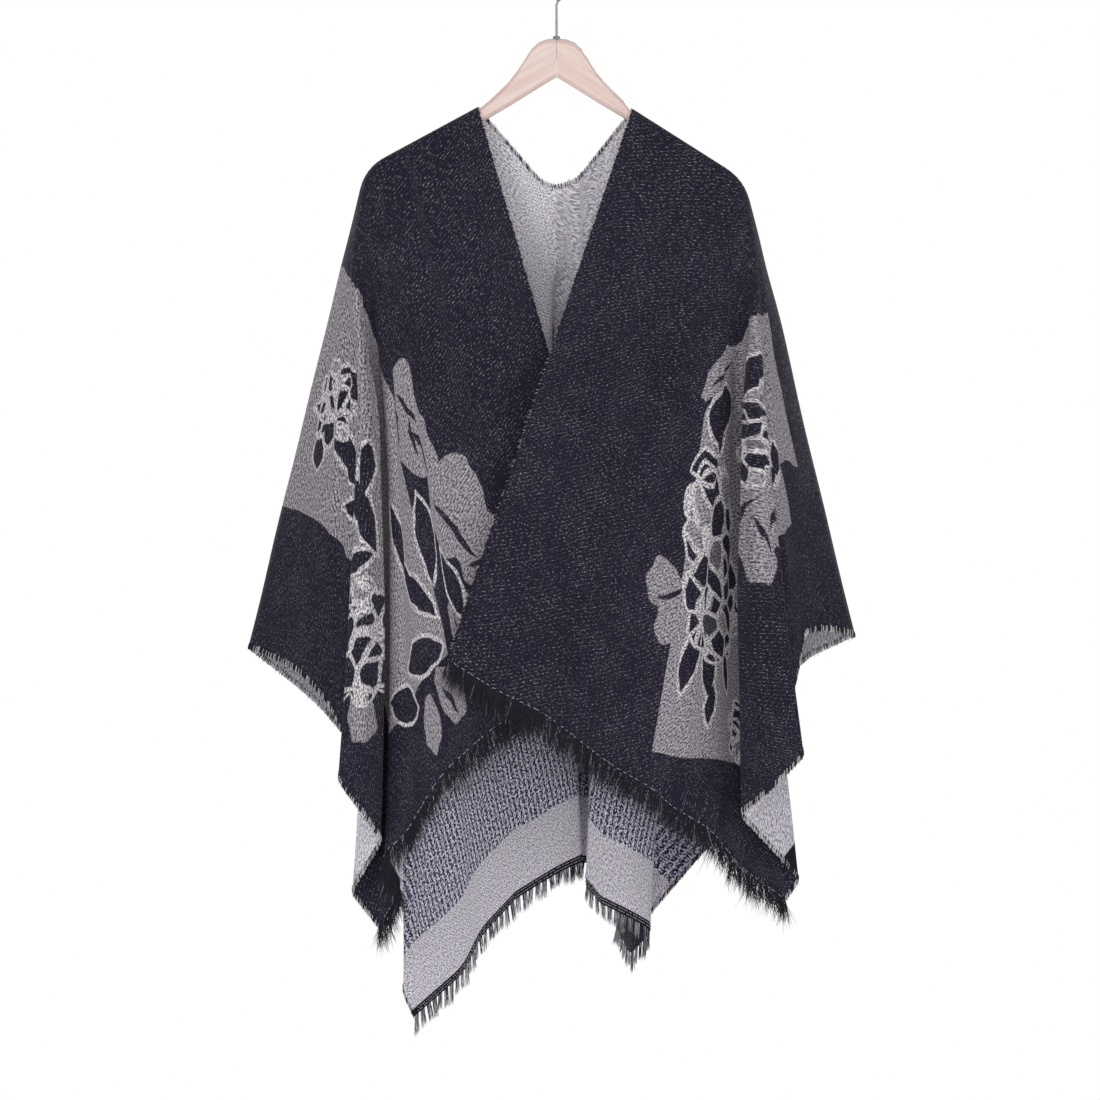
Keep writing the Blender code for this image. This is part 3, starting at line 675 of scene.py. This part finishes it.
def shape_group(name):
    """A group for one kind of shape, what is known of a place in it, and its outline's socket.

    along and off are from the middle, far is 1 at the shape's end and half is half its width.
    """
    group, given, out = new_group(name, SHAPE_SOCKETS, [("Outline", "Float")])
    middle = add_node(group, "CombineXYZ", {0: given["Across"], 1: given["Down"]}).outputs[0]
    moved = add_node(group, "VectorMath", {0: given["Place"], 1: middle}, operation="SUBTRACT")
    turned = add_node(group, "VectorRotate", {"Vector": moved.outputs[0],
                                              "Angle": times(group, given["Turn"], -1.0)},
                      rotation_type="Z_AXIS").outputs[0]
    along, off, _ = add_node(group, "SeparateXYZ", {0: turned}).outputs
    known = {"along": along, "off": off, "length": given["Length"], "width": given["Width"],
             "far": maths(group, "DIVIDE", times(group, along, 2.0), given["Length"]),
             "half": times(group, given["Width"], 0.5)}
    return group, known, out["Outline"]


def distance(tree, first, second):
    squares = plus(tree, times(tree, first, first), times(tree, second, second))
    return maths(tree, "SQRT", squares)


leaf, known, outline = shape_group("leaf")
swell = less(leaf, 1.0, times(leaf, known["far"], known["far"]))
leaf.links.new(less(leaf, maths(leaf, "ABSOLUTE", known["off"]),
                    times(leaf, swell, known["half"])), outline)

PETAL_FLARE = 0.35        # how much wider a petal is at its far end
PETAL_LOBES = 7.0
LOBE_DEPTH = 0.045

petal, known, outline = shape_group("petal")
flare = plus(petal, 1.0, times(petal, known["far"], PETAL_FLARE))
wide = maths(petal, "DIVIDE", known["off"], times(petal, known["half"], flare))
angle = maths(petal, "ARCTAN2", wide, known["far"])
lobes = maths(petal, "COSINE", times(petal, angle, PETAL_LOBES))
rim = plus(petal, 0.95, times(petal, lobes, LOBE_DEPTH))
petal.links.new(times(petal, less(petal, distance(petal, known["far"], wide), rim),
                      known["half"]), outline)

# A bloom is seen from above: its length is how wide it is, and its width how deep the notches
# between its eight petals are.
bloom, known, outline = shape_group("bloom")
angle = maths(bloom, "ARCTAN2", known["off"], known["along"])
waves = maths(bloom, "ABSOLUTE", maths(bloom, "COSINE", times(bloom, angle, 4.0)))
reach = plus(bloom, times(bloom, known["length"], 0.5),
             times(bloom, known["width"], less(bloom, waves, 1.0)))
bloom.links.new(less(bloom, distance(bloom, known["along"], known["off"]), reach), outline)

block, known, outline = shape_group("block")
past = less(block, maths(block, "ABSOLUTE", known["along"]), times(block, known["length"], 0.5))
block.links.new(maths(block, "MAXIMUM", past,
                      less(block, maths(block, "ABSOLUTE", known["off"]), known["half"])),
                outline)

# The pattern of each panel: across from the slit, down from the shoulder, length, width, turn.
SHAPES = {"ground": block, "petals": petal, "veins": leaf, "leaves": leaf, "blooms": bloom}
PATTERN = {
    "left_front": {
        "ground": ((382, 250, 264, 560, 0),),
        "petals": ((208, 246, 64, 62, -60), (196, 308, 112, 84, -50), (158, 402, 128, 104, -62),
                   (120, 462, 96, 80, -28), (196, 512, 72, 58, -95), (262, 566, 86, 60, 130),
                   (322, 578, 66, 46, 80), (600, 386, 60, 44, 60), (470, 330, 44, 60, 20)),
        "veins": ((210, 262, 48, 8, -66), (196, 318, 78, 9, -58), (214, 296, 44, 7, -96),
                  (160, 420, 96, 9, -66), (190, 452, 60, 7, -34), (132, 470, 50, 7, -12),
                  (204, 524, 52, 7, -88), (266, 574, 50, 7, 118)),
        "leaves": ((240, 400, 104, 38, 82), (192, 470, 92, 36, 104), (320, 366, 92, 28, 88),
                   (292, 438, 128, 34, 128), (312, 506, 116, 44, 168), (388, 526, 90, 42, 150),
                   (366, 84, 62, 56, 100), (424, 118, 86, 34, 60), (446, 60, 40, 32, 20),
                   (402, 40, 46, 18, 100), (462, 168, 76, 30, 120), (440, 236, 110, 34, 70),
                   (404, 214, 70, 26, 40), (486, 268, 60, 26, 150)),
        "blooms": ((542, 334, 136, 14, 0), (392, 66, 92, 12, 20)),
    },
    "right_front": {
        "ground": ((345, 324, 190, 560, 0), (430, 200, 180, 190, 0)),
        "petals": ((240, 206, 84, 44, -84), (230, 440, 66, 50, 180), (246, 474, 54, 42, 160),
                   (486, 232, 92, 68, 60), (456, 262, 78, 58, 96), (500, 276, 70, 46, 30)),
        "veins": ((236, 446, 44, 6, 150), (484, 226, 62, 8, 52), (462, 262, 52, 7, 90),
                  (498, 262, 44, 7, 20), (244, 204, 50, 6, -80)),
        "leaves": ((276, 246, 84, 44, 66), (266, 304, 56, 34, 150), (318, 150, 92, 40, 74),
                   (356, 178, 70, 28, 130), (288, 500, 84, 28, 100), (330, 508, 80, 26, 76),
                   (374, 500, 70, 24, 60), (344, 548, 50, 22, 90), (396, 150, 60, 26, 40),
                   (452, 150, 70, 26, 70), (430, 118, 50, 20, 20), (430, 566, 46, 24, 20)),
        "blooms": ((300, 356, 132, 12, 10), (330, 424, 150, 14, 40), (390, 222, 112, 12, 0),
                   (446, 560, 84, 12, 0)),
    },
    "back": {
        "ground": ((-466, 290, 264, 660, 0), (462, 360, 262, 560, 0)),
        "petals": ((-316, 250, 100, 76, 180), (-306, 330, 92, 70, 150), (-328, 470, 86, 64, 200),
                   (318, 240, 96, 70, 0), (310, 330, 104, 80, 30), (328, 560, 78, 60, 10),
                   (-606, 300, 84, 60, 0), (614, 460, 86, 64, 180)),
        "veins": ((-318, 256, 60, 8, 170), (-308, 334, 56, 7, 140), (-328, 474, 50, 7, 190),
                  (318, 246, 58, 8, 10), (312, 334, 62, 8, 40), (328, 564, 48, 7, 20)),
        "leaves": ((-396, 250, 110, 38, 70), (-446, 330, 120, 38, 110), (-376, 400, 96, 34, 40),
                   (-506, 220, 90, 34, 130), (-536, 420, 100, 36, 80), (-416, 540, 110, 36, 20),
                   (-516, 560, 90, 34, 160), (386, 200, 100, 36, 120), (436, 300, 116, 40, 60),
                   (506, 240, 90, 32, 100), (386, 420, 100, 34, 150), (526, 380, 110, 36, 30),
                   (466, 560, 96, 34, 80), (396, 580, 84, 32, 130)),
        "blooms": ((-466, 130, 140, 14, 0), (-476, 480, 150, 14, 15), (466, 140, 120, 12, 0),
                   (476, 470, 156, 14, 30)),
    },
}
TWILL_SLANT = {"left_front": -36, "right_front": 36, "back": -36}
TWILL_GAP = 0.0038     # from one slanting line to the next
OUTLINE = 0.0025       # half width of the pale line round leaves and flower cells
SOFT = 0.0006          # how softly one colour of the pattern meets the next
CELL = 0.030           # across one cell inside a bloom
GREY_CELL = 0.72       # share of these that is dark
PUSH = 0.014           # how far the shapes are pushed out of true
RELIEF = (0.35, 0.0006)

DARK = (colour(28, 26, 38), colour(43, 40, 54))
SLUB = colour(152, 149, 162)
GREY = (colour(62, 57, 64), colour(188, 181, 189))
PALE = (colour(140, 135, 141), colour(232, 227, 230))


def least(tree, values):
    found = values[0]
    for value in values[1:]:
        found = maths(tree, "MINIMUM", found, value)
    return found


def within(tree, value, reach, soft=SOFT):
    """1 where the value is less than reach, and 0 past it."""
    return ramp(tree, value, reach + soft, reach - soft)


def outer_weave(name):
    """The dark face of one panel, with its pattern woven in."""
    made, tree, shader = new_material(name + "_outer_weave", 0.88, sheen_weight=0.04,
                                      specular_ior_level=0.12)
    place = add_node(tree, "UVMap", uv_map="flat").outputs[0]
    weave = use_group(tree, twill, Place=place, Line_Gap=TWILL_GAP,
                      Slant=math.radians(TWILL_SLANT[name]))
    warp = add_node(tree, "TexNoise", {"Vector": place, "Scale": 30.0, "Detail": 1.0})
    push = add_node(tree, "VectorMath", {0: warp.outputs["Color"], 1: (0.5, 0.5, 0.5)},
                    operation="SUBTRACT")
    push = add_node(tree, "VectorMath", {0: push.outputs[0], "Scale": PUSH}, operation="SCALE")
    drawn = add_node(tree, "VectorMath", {0: place, 1: push.outputs[0]}).outputs[0]
    nearest = {}
    for kind, rows in PATTERN[name].items():
        outlines = [use_group(tree, SHAPES[kind], Place=place if kind == "ground" else drawn,
                              Across=across * MM, Down=down * MM, Length=length * MM,
                              Width=width * MM, Turn=math.radians(turn))["Outline"]
                    for across, down, length, width, turn in rows]
        nearest[kind] = least(tree, outlines)
    cell_look = {"Vector": drawn, "Scale": 1 / CELL, "Randomness": 0.85}
    cells = add_node(tree, "TexVoronoi", cell_look, feature="DISTANCE_TO_EDGE")
    cell_edge = times(tree, cells.outputs["Distance"], CELL)
    each_cell = add_node(tree, "TexVoronoi", cell_look).outputs["Color"]
    grey_cell = ramp(tree, add_node(tree, "SeparateColor", {0: each_cell}).outputs[0],
                     GREY_CELL - 0.01, GREY_CELL + 0.01)

    in_grey = within(tree, least(tree, [nearest["ground"], nearest["petals"]]), 0)
    in_leaf, in_bloom = [within(tree, nearest[kind], 0) for kind in ("leaves", "blooms")]
    by_leaf, by_bloom = [within(tree, maths(tree, "ABSOLUTE", nearest[kind]), OUTLINE)
                         for kind in ("leaves", "blooms")]
    by_cell = times(tree, in_bloom, within(tree, cell_edge, OUTLINE))
    grey = times(tree, in_grey, ramp(tree, nearest["veins"], -SOFT, SOFT))
    grey = times(tree, grey, less(tree, 1.0, in_leaf))
    grey = plus(tree, times(tree, grey, less(tree, 1.0, in_bloom)),
                times(tree, in_bloom, grey_cell), clamp=True)
    pale = maths(tree, "MAXIMUM", maths(tree, "MAXIMUM", by_leaf, by_bloom), by_cell)
    ragged = times(tree, pale, ramp(tree, weave["Speck"], 0.22, 0.5))

    speck = ramp(tree, weave["Speck"], 0.42, 0.60)
    dark_cloth = mixed(tree, noise(tree, place, 7.0, 3.0), *DARK)
    dark_cloth = mixed(tree, weave["Slub"], dark_cloth, SLUB)
    grey_tone = plus(tree, times(tree, speck, 0.75), times(tree, weave["Line"], 0.25))
    cloth = mixed(tree, grey, dark_cloth, mixed(tree, grey_tone, *GREY))
    cloth = mixed(tree, ragged, cloth, mixed(tree, speck, *PALE))
    tree.links.new(cloth, shader.inputs["Base Color"])
    bumped(tree, shader, plus(tree, weave["Line"], weave["Speck"]), *RELIEF)
    return made


# The pale face: a dark strip and a plain band by the hem, then, on the back alone, a band of
# ribbed blue and white twill, and pale grey from there up.
LIGHT = (colour(132, 127, 138), colour(250, 246, 253))
BAND_BLUE = colour(36, 34, 66)
BAND_WHITE = colour(216, 214, 227)
HEM_SHADE = (0.80, 0.79, 0.81, 1.0)
HEM_BAND = 0.074          # how far above the hem each ends
BLUE_BAND = 0.190
DARK_STRIP = 0.0083
BAND_SOFT = 0.0007
RIB_GAP = 0.0095
INNER_GAP, INNER_SLANT = 0.0034, -40


def inner_weave(name, length, banded):
    made, tree, shader = new_material(name + "_inner_weave", 0.9, sheen_weight=0.04,
                                      specular_ior_level=0.15)
    place = add_node(tree, "UVMap", uv_map="flat").outputs[0]
    weave = use_group(tree, twill, Place=place, Line_Gap=INNER_GAP,
                      Slant=math.radians(INNER_SLANT))
    across, down, _ = add_node(tree, "SeparateXYZ", {0: place}).outputs
    above_hem = less(tree, length, down)
    speck = ramp(tree, weave["Speck"], 0.38, 0.60)
    tone = plus(tree, times(tree, speck, 0.8), times(tree, weave["Line"], 0.2))
    cloth = mixed(tree, tone, *LIGHT)
    by_hem = within(tree, above_hem, HEM_BAND, BAND_SOFT)
    cloth = mixed(tree, by_hem, cloth, HEM_SHADE, blend="MULTIPLY")
    if banded:
        broad = mapped(tree, place, (400.0, 330.0, 1.0), (0, 0, 0.5))
        rib = maths(tree, "SINE", times(tree, across, ONE_TURN / RIB_GAP))
        knots = plus(tree, noise(tree, broad, 1.0, 2.0, 0.6), times(tree, rib, 0.055))
        blue = mixed(tree, ramp(tree, knots, 0.46, 0.59), BAND_BLUE, BAND_WHITE)
        in_band = times(tree, ramp(tree, above_hem, HEM_BAND - BAND_SOFT, HEM_BAND + BAND_SOFT),
                        within(tree, above_hem, BLUE_BAND, BAND_SOFT))
        cloth = mixed(tree, in_band, cloth, blue)
    at_hem = within(tree, above_hem, DARK_STRIP, 0.0005)
    cloth = mixed(tree, at_hem, cloth, mixed(tree, weave["Slub"], *DARK))
    tree.links.new(cloth, shader.inputs["Base Color"])
    bumped(tree, shader, plus(tree, weave["Line"], weave["Speck"]), *RELIEF)
    return made


PANELS = {
    "left_front": (LEFT_FRONT, LEFT_FRONT_ARCS, -1, FRONT_LENGTH),
    "right_front": (RIGHT_FRONT, RIGHT_FRONT_ARCS, -1, FRONT_LENGTH),
    "back": (BACK, BACK_ARCS, 1, BACK_LENGTH),
}
cloths, woven = {}, {}
for name, (table, arcs, side, length) in PANELS.items():
    cloths[name], *woven[name] = weave_panel(name, table, arcs, side, outer_weave(name),
                                             inner_weave(name, length * MM, name == "back"))

# ------------------------------------------------------------------------------
# Fringes: the ends of the warp, left loose below the hem.  In front they are fine, dark and
# close; behind they are shorter, grey and black, and hold together in small locks.
# ------------------------------------------------------------------------------
dark_yarn = flecked("dark_yarn", 0.85, 900.0, colour(26, 25, 32), colour(68, 65, 75),
                    specular_ior_level=0.15)[0]
grey_yarn = flecked("grey_yarn", 0.85, 700.0, colour(120, 117, 124), colour(214, 210, 216),
                    specular_ior_level=0.2)[0]


def spin_yarn(name, lines, radii, which, finishes=(dark_yarn, grey_yarn)):
    """Three-sided yarns along many lines of points, each line as long as the others."""
    lines = np.asarray(lines, float)
    count, steps = lines.shape[:2]
    along = np.gradient(lines, axis=1)
    along /= np.linalg.norm(along, axis=2, keepdims=True)
    aside = np.cross(along, (0.36, 0.84, 0.40))
    aside /= np.linalg.norm(aside, axis=2, keepdims=True)
    third = np.cross(along, aside)
    rings = []
    for turn in range(3):
        angle = math.radians(120 * turn)
        rings.append(lines + (aside * math.cos(angle) + third * math.sin(angle))
                     * np.asarray(radii)[:, :, None])
    points = np.stack(rings, axis=2)
    numbers = np.arange(count * steps * 3).reshape(count, steps, 3)
    ahead = np.roll(numbers, -1, axis=2)
    sides = np.stack([numbers[:, :-1], ahead[:, :-1], ahead[:, 1:], numbers[:, 1:]], axis=3)
    faces = sides.reshape(-1, 4).tolist()
    faces += numbers[:, 0, ::-1].tolist() + numbers[:, -1].tolist()
    which = np.concatenate([np.repeat(which, (steps - 1) * 3), which, which])
    return sew_mesh(name, points.reshape(-1, 3), faces, finishes, which.astype(int))


def along_edge(points, directions, spacing, chance):
    """Places at an uneven spacing along an edge, with the directions interpolated there."""
    run = run_along(points)
    at = np.arange(spacing / 2, run[-1], spacing)
    at = np.clip(at + chance.uniform(-0.4, 0.4, len(at)) * spacing, 0, run[-1])
    found = [np.stack([np.interp(at, run, column) for column in field.T], axis=1)
             for field in [points] + directions]
    return at, found


def unit(vectors):
    return vectors / np.linalg.norm(vectors, axis=-1, keepdims=True)


# Each fringe's hem, its length and spacing, how many yarns hang in a lock, the share of grey
# ones, how much they stray, and how far a lock draws together.
FRINGES = {
    "left_front": (FRONT_HEM, 34.0, 0.17, 9, 0.03, 0.15, 0.0),
    "right_front": (FRONT_HEM, 34.0, 0.17, 9, 0.03, 0.15, 0.0),
    "back": (BACK_HEM, 25.0, 0.34, 26, 0.5, 0.06, 0.3),
}
ALONG_YARN = (0.0, 0.35, 0.7, 1.0)
YARN_TAPER = (1.0, 1.0, 0.8, 0.3)
YARN_RADIUS = (0.2, 0.34)
YARN_LENGTH = (0.75, 1.0)
LOCK_LENGTH = (0.72, 1.05)
ROOT_SINK = 1.2           # how far up into the hem a yarn starts
AS_CLOTH, DOWNWARD = 0.65, 0.35       # how much a yarn goes on with the cloth, and straight down

for name, (ends, length, spacing, together, grey_share, stray, drawn) in FRINGES.items():
    grid, normals, edge = woven[name]
    chance = np.random.default_rng(len(name))
    hem = between(edge[:, 0], *ends)
    down = unit(grid[-1, hem] - grid[-3, hem])
    at, (root, fall, out) = along_edge(grid[-1, hem], [down, normals[-1, hem]], spacing, chance)
    count = len(at)
    lock = np.arange(count) // together
    lean = chance.normal(0, stray, (lock[-1] + 1, 3))[lock]
    lean += chance.normal(0, stray * 0.8, (count, 3))
    lock_length = chance.uniform(*LOCK_LENGTH, lock[-1] + 1)[lock]
    reach = length * lock_length * chance.uniform(*YARN_LENGTH, count)
    way = unit(unit(fall) * AS_CLOTH + np.array([0, 0, -DOWNWARD]) + lean)
    curl = chance.normal(0, stray * 0.8, (count, 3))
    lines = []
    for share in ALONG_YARN:
        lines.append(root - fall * ROOT_SINK + out * chance.uniform(-0.5, 0.5, (count, 1))
                     + way * (reach * share)[:, None]
                     + curl * (reach * share * share)[:, None])
    for line in lines:
        gather = np.array([np.mean(line[lock == k], axis=0) for k in range(lock[-1] + 1)])
        line += (gather[lock] - line) * drawn
    radii = chance.uniform(*YARN_RADIUS, (count, 1)) * np.array(YARN_TAPER)
    which = (chance.random(count) < grey_share).astype(int)
    fringe = spin_yarn(name + "_fringe_yarns", np.stack(lines, axis=1), radii, which)
    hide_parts(name + "_fringe")
    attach(fringe, "root")

# ------------------------------------------------------------------------------
# Sewing: the side edges and the back of the neck are overcast with black and off-white yarn,
# the slit is whipped, a running stitch holds the root of each front's fringe, and two rows of
# grey stitches hold the back's hem on its inner face.
# ------------------------------------------------------------------------------
white_thread = flecked("white_thread", 0.8, 600.0, colour(150, 147, 150),
                       colour(236, 232, 232), specular_ior_level=0.3)[0]
SIDES = {
    "left_front": {"side": (FRONT_HEM[1], FRONT_END)},
    "right_front": {"side": (FRONT_HEM[1], FRONT_END)},
    "back": {"left_side": (0, BACK_HEM[0]), "right_side": (BACK_HEM[1], BACK_END)},
}
# The spacing of the stitches, how deep they reach, and the yarn's radius.
SIDE_OVERCAST = (1.9, 6.0, 0.5)
NECK_OVERCAST = (1.9, 5.0, 0.5)
SLIT_WHIPPING = (2.9, 1.1, 0.3)
PALE_SHARE = 0.5


def overcast(name, points, inward, out, spacing, depth, radius, chance):
    """Slanting stitches that go over an edge from one face of the cloth to the other."""
    at, (place, inner, face) = along_edge(points, [inward, out], spacing, chance)
    slant = unit(np.gradient(place, axis=0)) * spacing * 0.45
    deep = depth * chance.uniform(0.75, 1.1, (len(at), 1))
    rise = WALL / 2 + radius * 0.6
    lines = np.stack([place + inner * deep - slant + face * rise,
                      place + inner * deep * 0.4 - slant * 0.4 + face * (rise + 0.25),
                      place - inner * radius * 1.2 + face * WALL * 0.3,
                      place - inner * radius * 1.2 - face * WALL * 0.3,
                      place + inner * deep * 0.4 + slant * 0.4 - face * (rise + 0.25),
                      place + inner * deep + slant - face * rise], axis=1)
    radii = np.full((len(at), 6), radius) * chance.uniform(0.8, 1.15, (len(at), 1))
    which = (chance.random(len(at)) < PALE_SHARE).astype(int)
    hair_line = np.stack([place + inner * 1.5,
                          place - inner * chance.uniform(0.8, 2.6, (len(at), 1))
                          + unit(chance.normal(0, 1, (len(at), 3))) * 0.9], axis=1)
    hair_radii = np.full((len(at), 2), radius * 0.5)
    stitches = spin_yarn(name, lines, radii, which, (dark_yarn, white_thread))
    hairs = spin_yarn(name + "_ends", hair_line, hair_radii, which, (dark_yarn, white_thread))
    bpy.ops.object.select_all(action="DESELECT")
    hairs.select_set(True)
    stitches.select_set(True)
    bpy.context.view_layer.objects.active = stitches
    bpy.ops.object.join()
    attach(stitches, "root")
    return stitches


chance = np.random.default_rng(7)
sewn = {name: [] for name in PANELS}
for name, sides in SIDES.items():
    grid, normals, edge = woven[name]
    for label, ends in sides.items():
        run = between(edge[:, 0], *ends)
        sewn[name].append(overcast(f"{name}_{label}_overcast", grid[-1, run],
                                   unit(grid[-2, run] - grid[-1, run]), normals[-1, run],
                                   *SIDE_OVERCAST, chance))

grid, normals, edge = woven["back"]
scoop = between(edge[:, 1], LEFT_NECK, RIGHT_NECK)
sewn["back"].append(overcast("neck_overcast", grid[0, scoop],
                             unit(grid[6, scoop] - grid[0, scoop]), normals[0, scoop],
                             *NECK_OVERCAST, chance))
for name in ("left_front", "right_front"):
    grid, normals, edge = woven[name]
    slit = int(np.argmin(edge[:, 0]))
    beside = slit + (1 if slit == 0 else -1)
    sewn[name].append(overcast(name + "_slit_whipping", grid[:, slit],
                               unit(grid[:, beside] - grid[:, slit]), normals[:, slit],
                               *SLIT_WHIPPING, chance))

# Rows of short stitches: the panel and its hem, how far above the hem they are, their spacing,
# half their length, 1 for the outer face and -1 for the inner, and the thread.
STITCHES = {
    "left_front_running_stitch": ("left_front", FRONT_HEM, 2.0, 7.5, 1.7, 1, white_thread),
    "right_front_running_stitch": ("right_front", FRONT_HEM, 2.0, 7.5, 1.7, 1, white_thread),
    "back_hem_stitches_1": ("back", BACK_HEM, 2.6, 2.7, 1.0, -1, grey_yarn),
    "back_hem_stitches_2": ("back", BACK_HEM, 5.8, 2.7, 1.0, -1, grey_yarn),
}
FROM_CORNER = 4
THREAD_RADIUS = 0.38

for name, (panel, ends, above, spacing, half, side, thread) in STITCHES.items():
    grid, normals, edge = woven[panel]
    hem = between(edge[:, 0], ends[0] + FROM_CORNER, ends[1] - FROM_CORNER)
    root = grid[-1, hem] + unit(grid[-2, hem] - grid[-1, hem]) * above
    at, (place, face) = along_edge(root, [normals[-1, hem] * side], spacing, chance)
    way = unit(np.gradient(place, axis=0)) * half
    place = place + face * (WALL / 2 + 0.2)
    lines = np.stack([place - way - face * 0.3, place - way * 0.5 + face * 0.15,
                      place + way * 0.5 + face * 0.15, place + way - face * 0.3], axis=1)
    stitches = spin_yarn(name, lines, np.full((len(at), 4), THREAD_RADIUS), np.zeros(len(at)),
                         (thread,))
    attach(stitches, "root")
    sewn[panel].append(stitches)

# ------------------------------------------------------------------------------
# The floor is pale and plain, as far down as it is under a wardrobe rail.  It glows a little and
# fades into the white round it, and from below it is not seen at all.
# ------------------------------------------------------------------------------
FLOOR_DROP = 1.75
FLOOR_WIDTH = 14.0
FLOOR_GLOW = 0.72
FLOOR_REACH = 6.5         # it is gone this far out, and starts to fade at 0.3 of this
FLOOR_FADE = 0.7

bpy.ops.object.select_all(action="DESELECT")
bpy.ops.mesh.primitive_plane_add(size=FLOOR_WIDTH, location=(0, 0, -FLOOR_DROP))
floor = bpy.context.object
floor.name = "floor"
pale_floor, tree, shader, _ = flecked("pale_floor", 0.9, 3.0, colour(146, 146, 147),
                                      colour(154, 154, 155), specular_ior_level=0.1,
                                      emission_color=(1, 1, 1, 1),
                                      emission_strength=FLOOR_GLOW)
place = add_node(tree, "TexCoord").outputs["Object"]
near = add_node(tree, "TexGradient", {"Vector": mapped(tree, place, (1 / FLOOR_REACH,) * 3)},
                gradient_type="SPHERICAL").outputs["Fac"]
from_above = less(tree, 1.0, add_node(tree, "NewGeometry").outputs["Backfacing"])
tree.links.new(times(tree, ramp(tree, near, 0.0, FLOOR_FADE), from_above),
               shader.inputs["Alpha"])
floor.data.materials.append(pale_floor)

# ------------------------------------------------------------------------------
# Soft studio light from both sides, and a world that is white behind the wrap but dimmer
# where it lights it, so that the folds keep their shade.
# ------------------------------------------------------------------------------
LIGHTS = (
    # name, place, aimed at, width, power
    ("key", (-2.4, -3.0, 1.2), (0, 0, -0.6), 1.6, 43),
    ("fill", (2.8, -2.6, 0.4), (0, 0, -0.7), 1.8, 29),
    ("front", (0.1, -4.6, 0.2), (0, 0, -0.6), 1.6, 48),
    ("top", (0, -0.4, 2.4), (0, 0.2, -0.5), 2.0, 16),
    ("behind left", (-2.6, 3.2, 0.8), (0, 0, -0.6), 1.8, 52),
    ("behind right", (2.2, 3.4, 0.6), (0, 0, -0.6), 1.8, 52),
)
for name, place, aim, width, power in LIGHTS:
    data = bpy.data.lights.new(name, "AREA")
    data.size = width
    data.energy = power
    lamp = bpy.data.objects.new(name, data)
    lamp.location = place
    way = [there - here for here, there in zip(place, aim)]
    flat_way = math.hypot(way[0], way[1])
    lamp.rotation_euler = (math.atan2(flat_way, -way[2]), 0, math.atan2(-way[0], way[1]))
    bpy.context.collection.objects.link(lamp)

WORLD_BEHIND = 1.0
WORLD_LIGHT = 0.27

world = bpy.data.worlds.new("studio")
bpy.context.scene.world = world
world.use_nodes = True
tree = world.node_tree
seen = add_node(tree, "LightPath").outputs["Is Camera Ray"]
strength = add_node(tree, "MapRange", {"Value": seen, "To Min": WORLD_LIGHT,
                                       "To Max": WORLD_BEHIND}).outputs["Result"]
sky = tree.nodes["Background"]
sky.inputs["Color"].default_value = (1, 1, 1, 1)
tree.links.new(strength, sky.inputs["Strength"])
bpy.context.scene.view_settings.view_transform = "Standard"
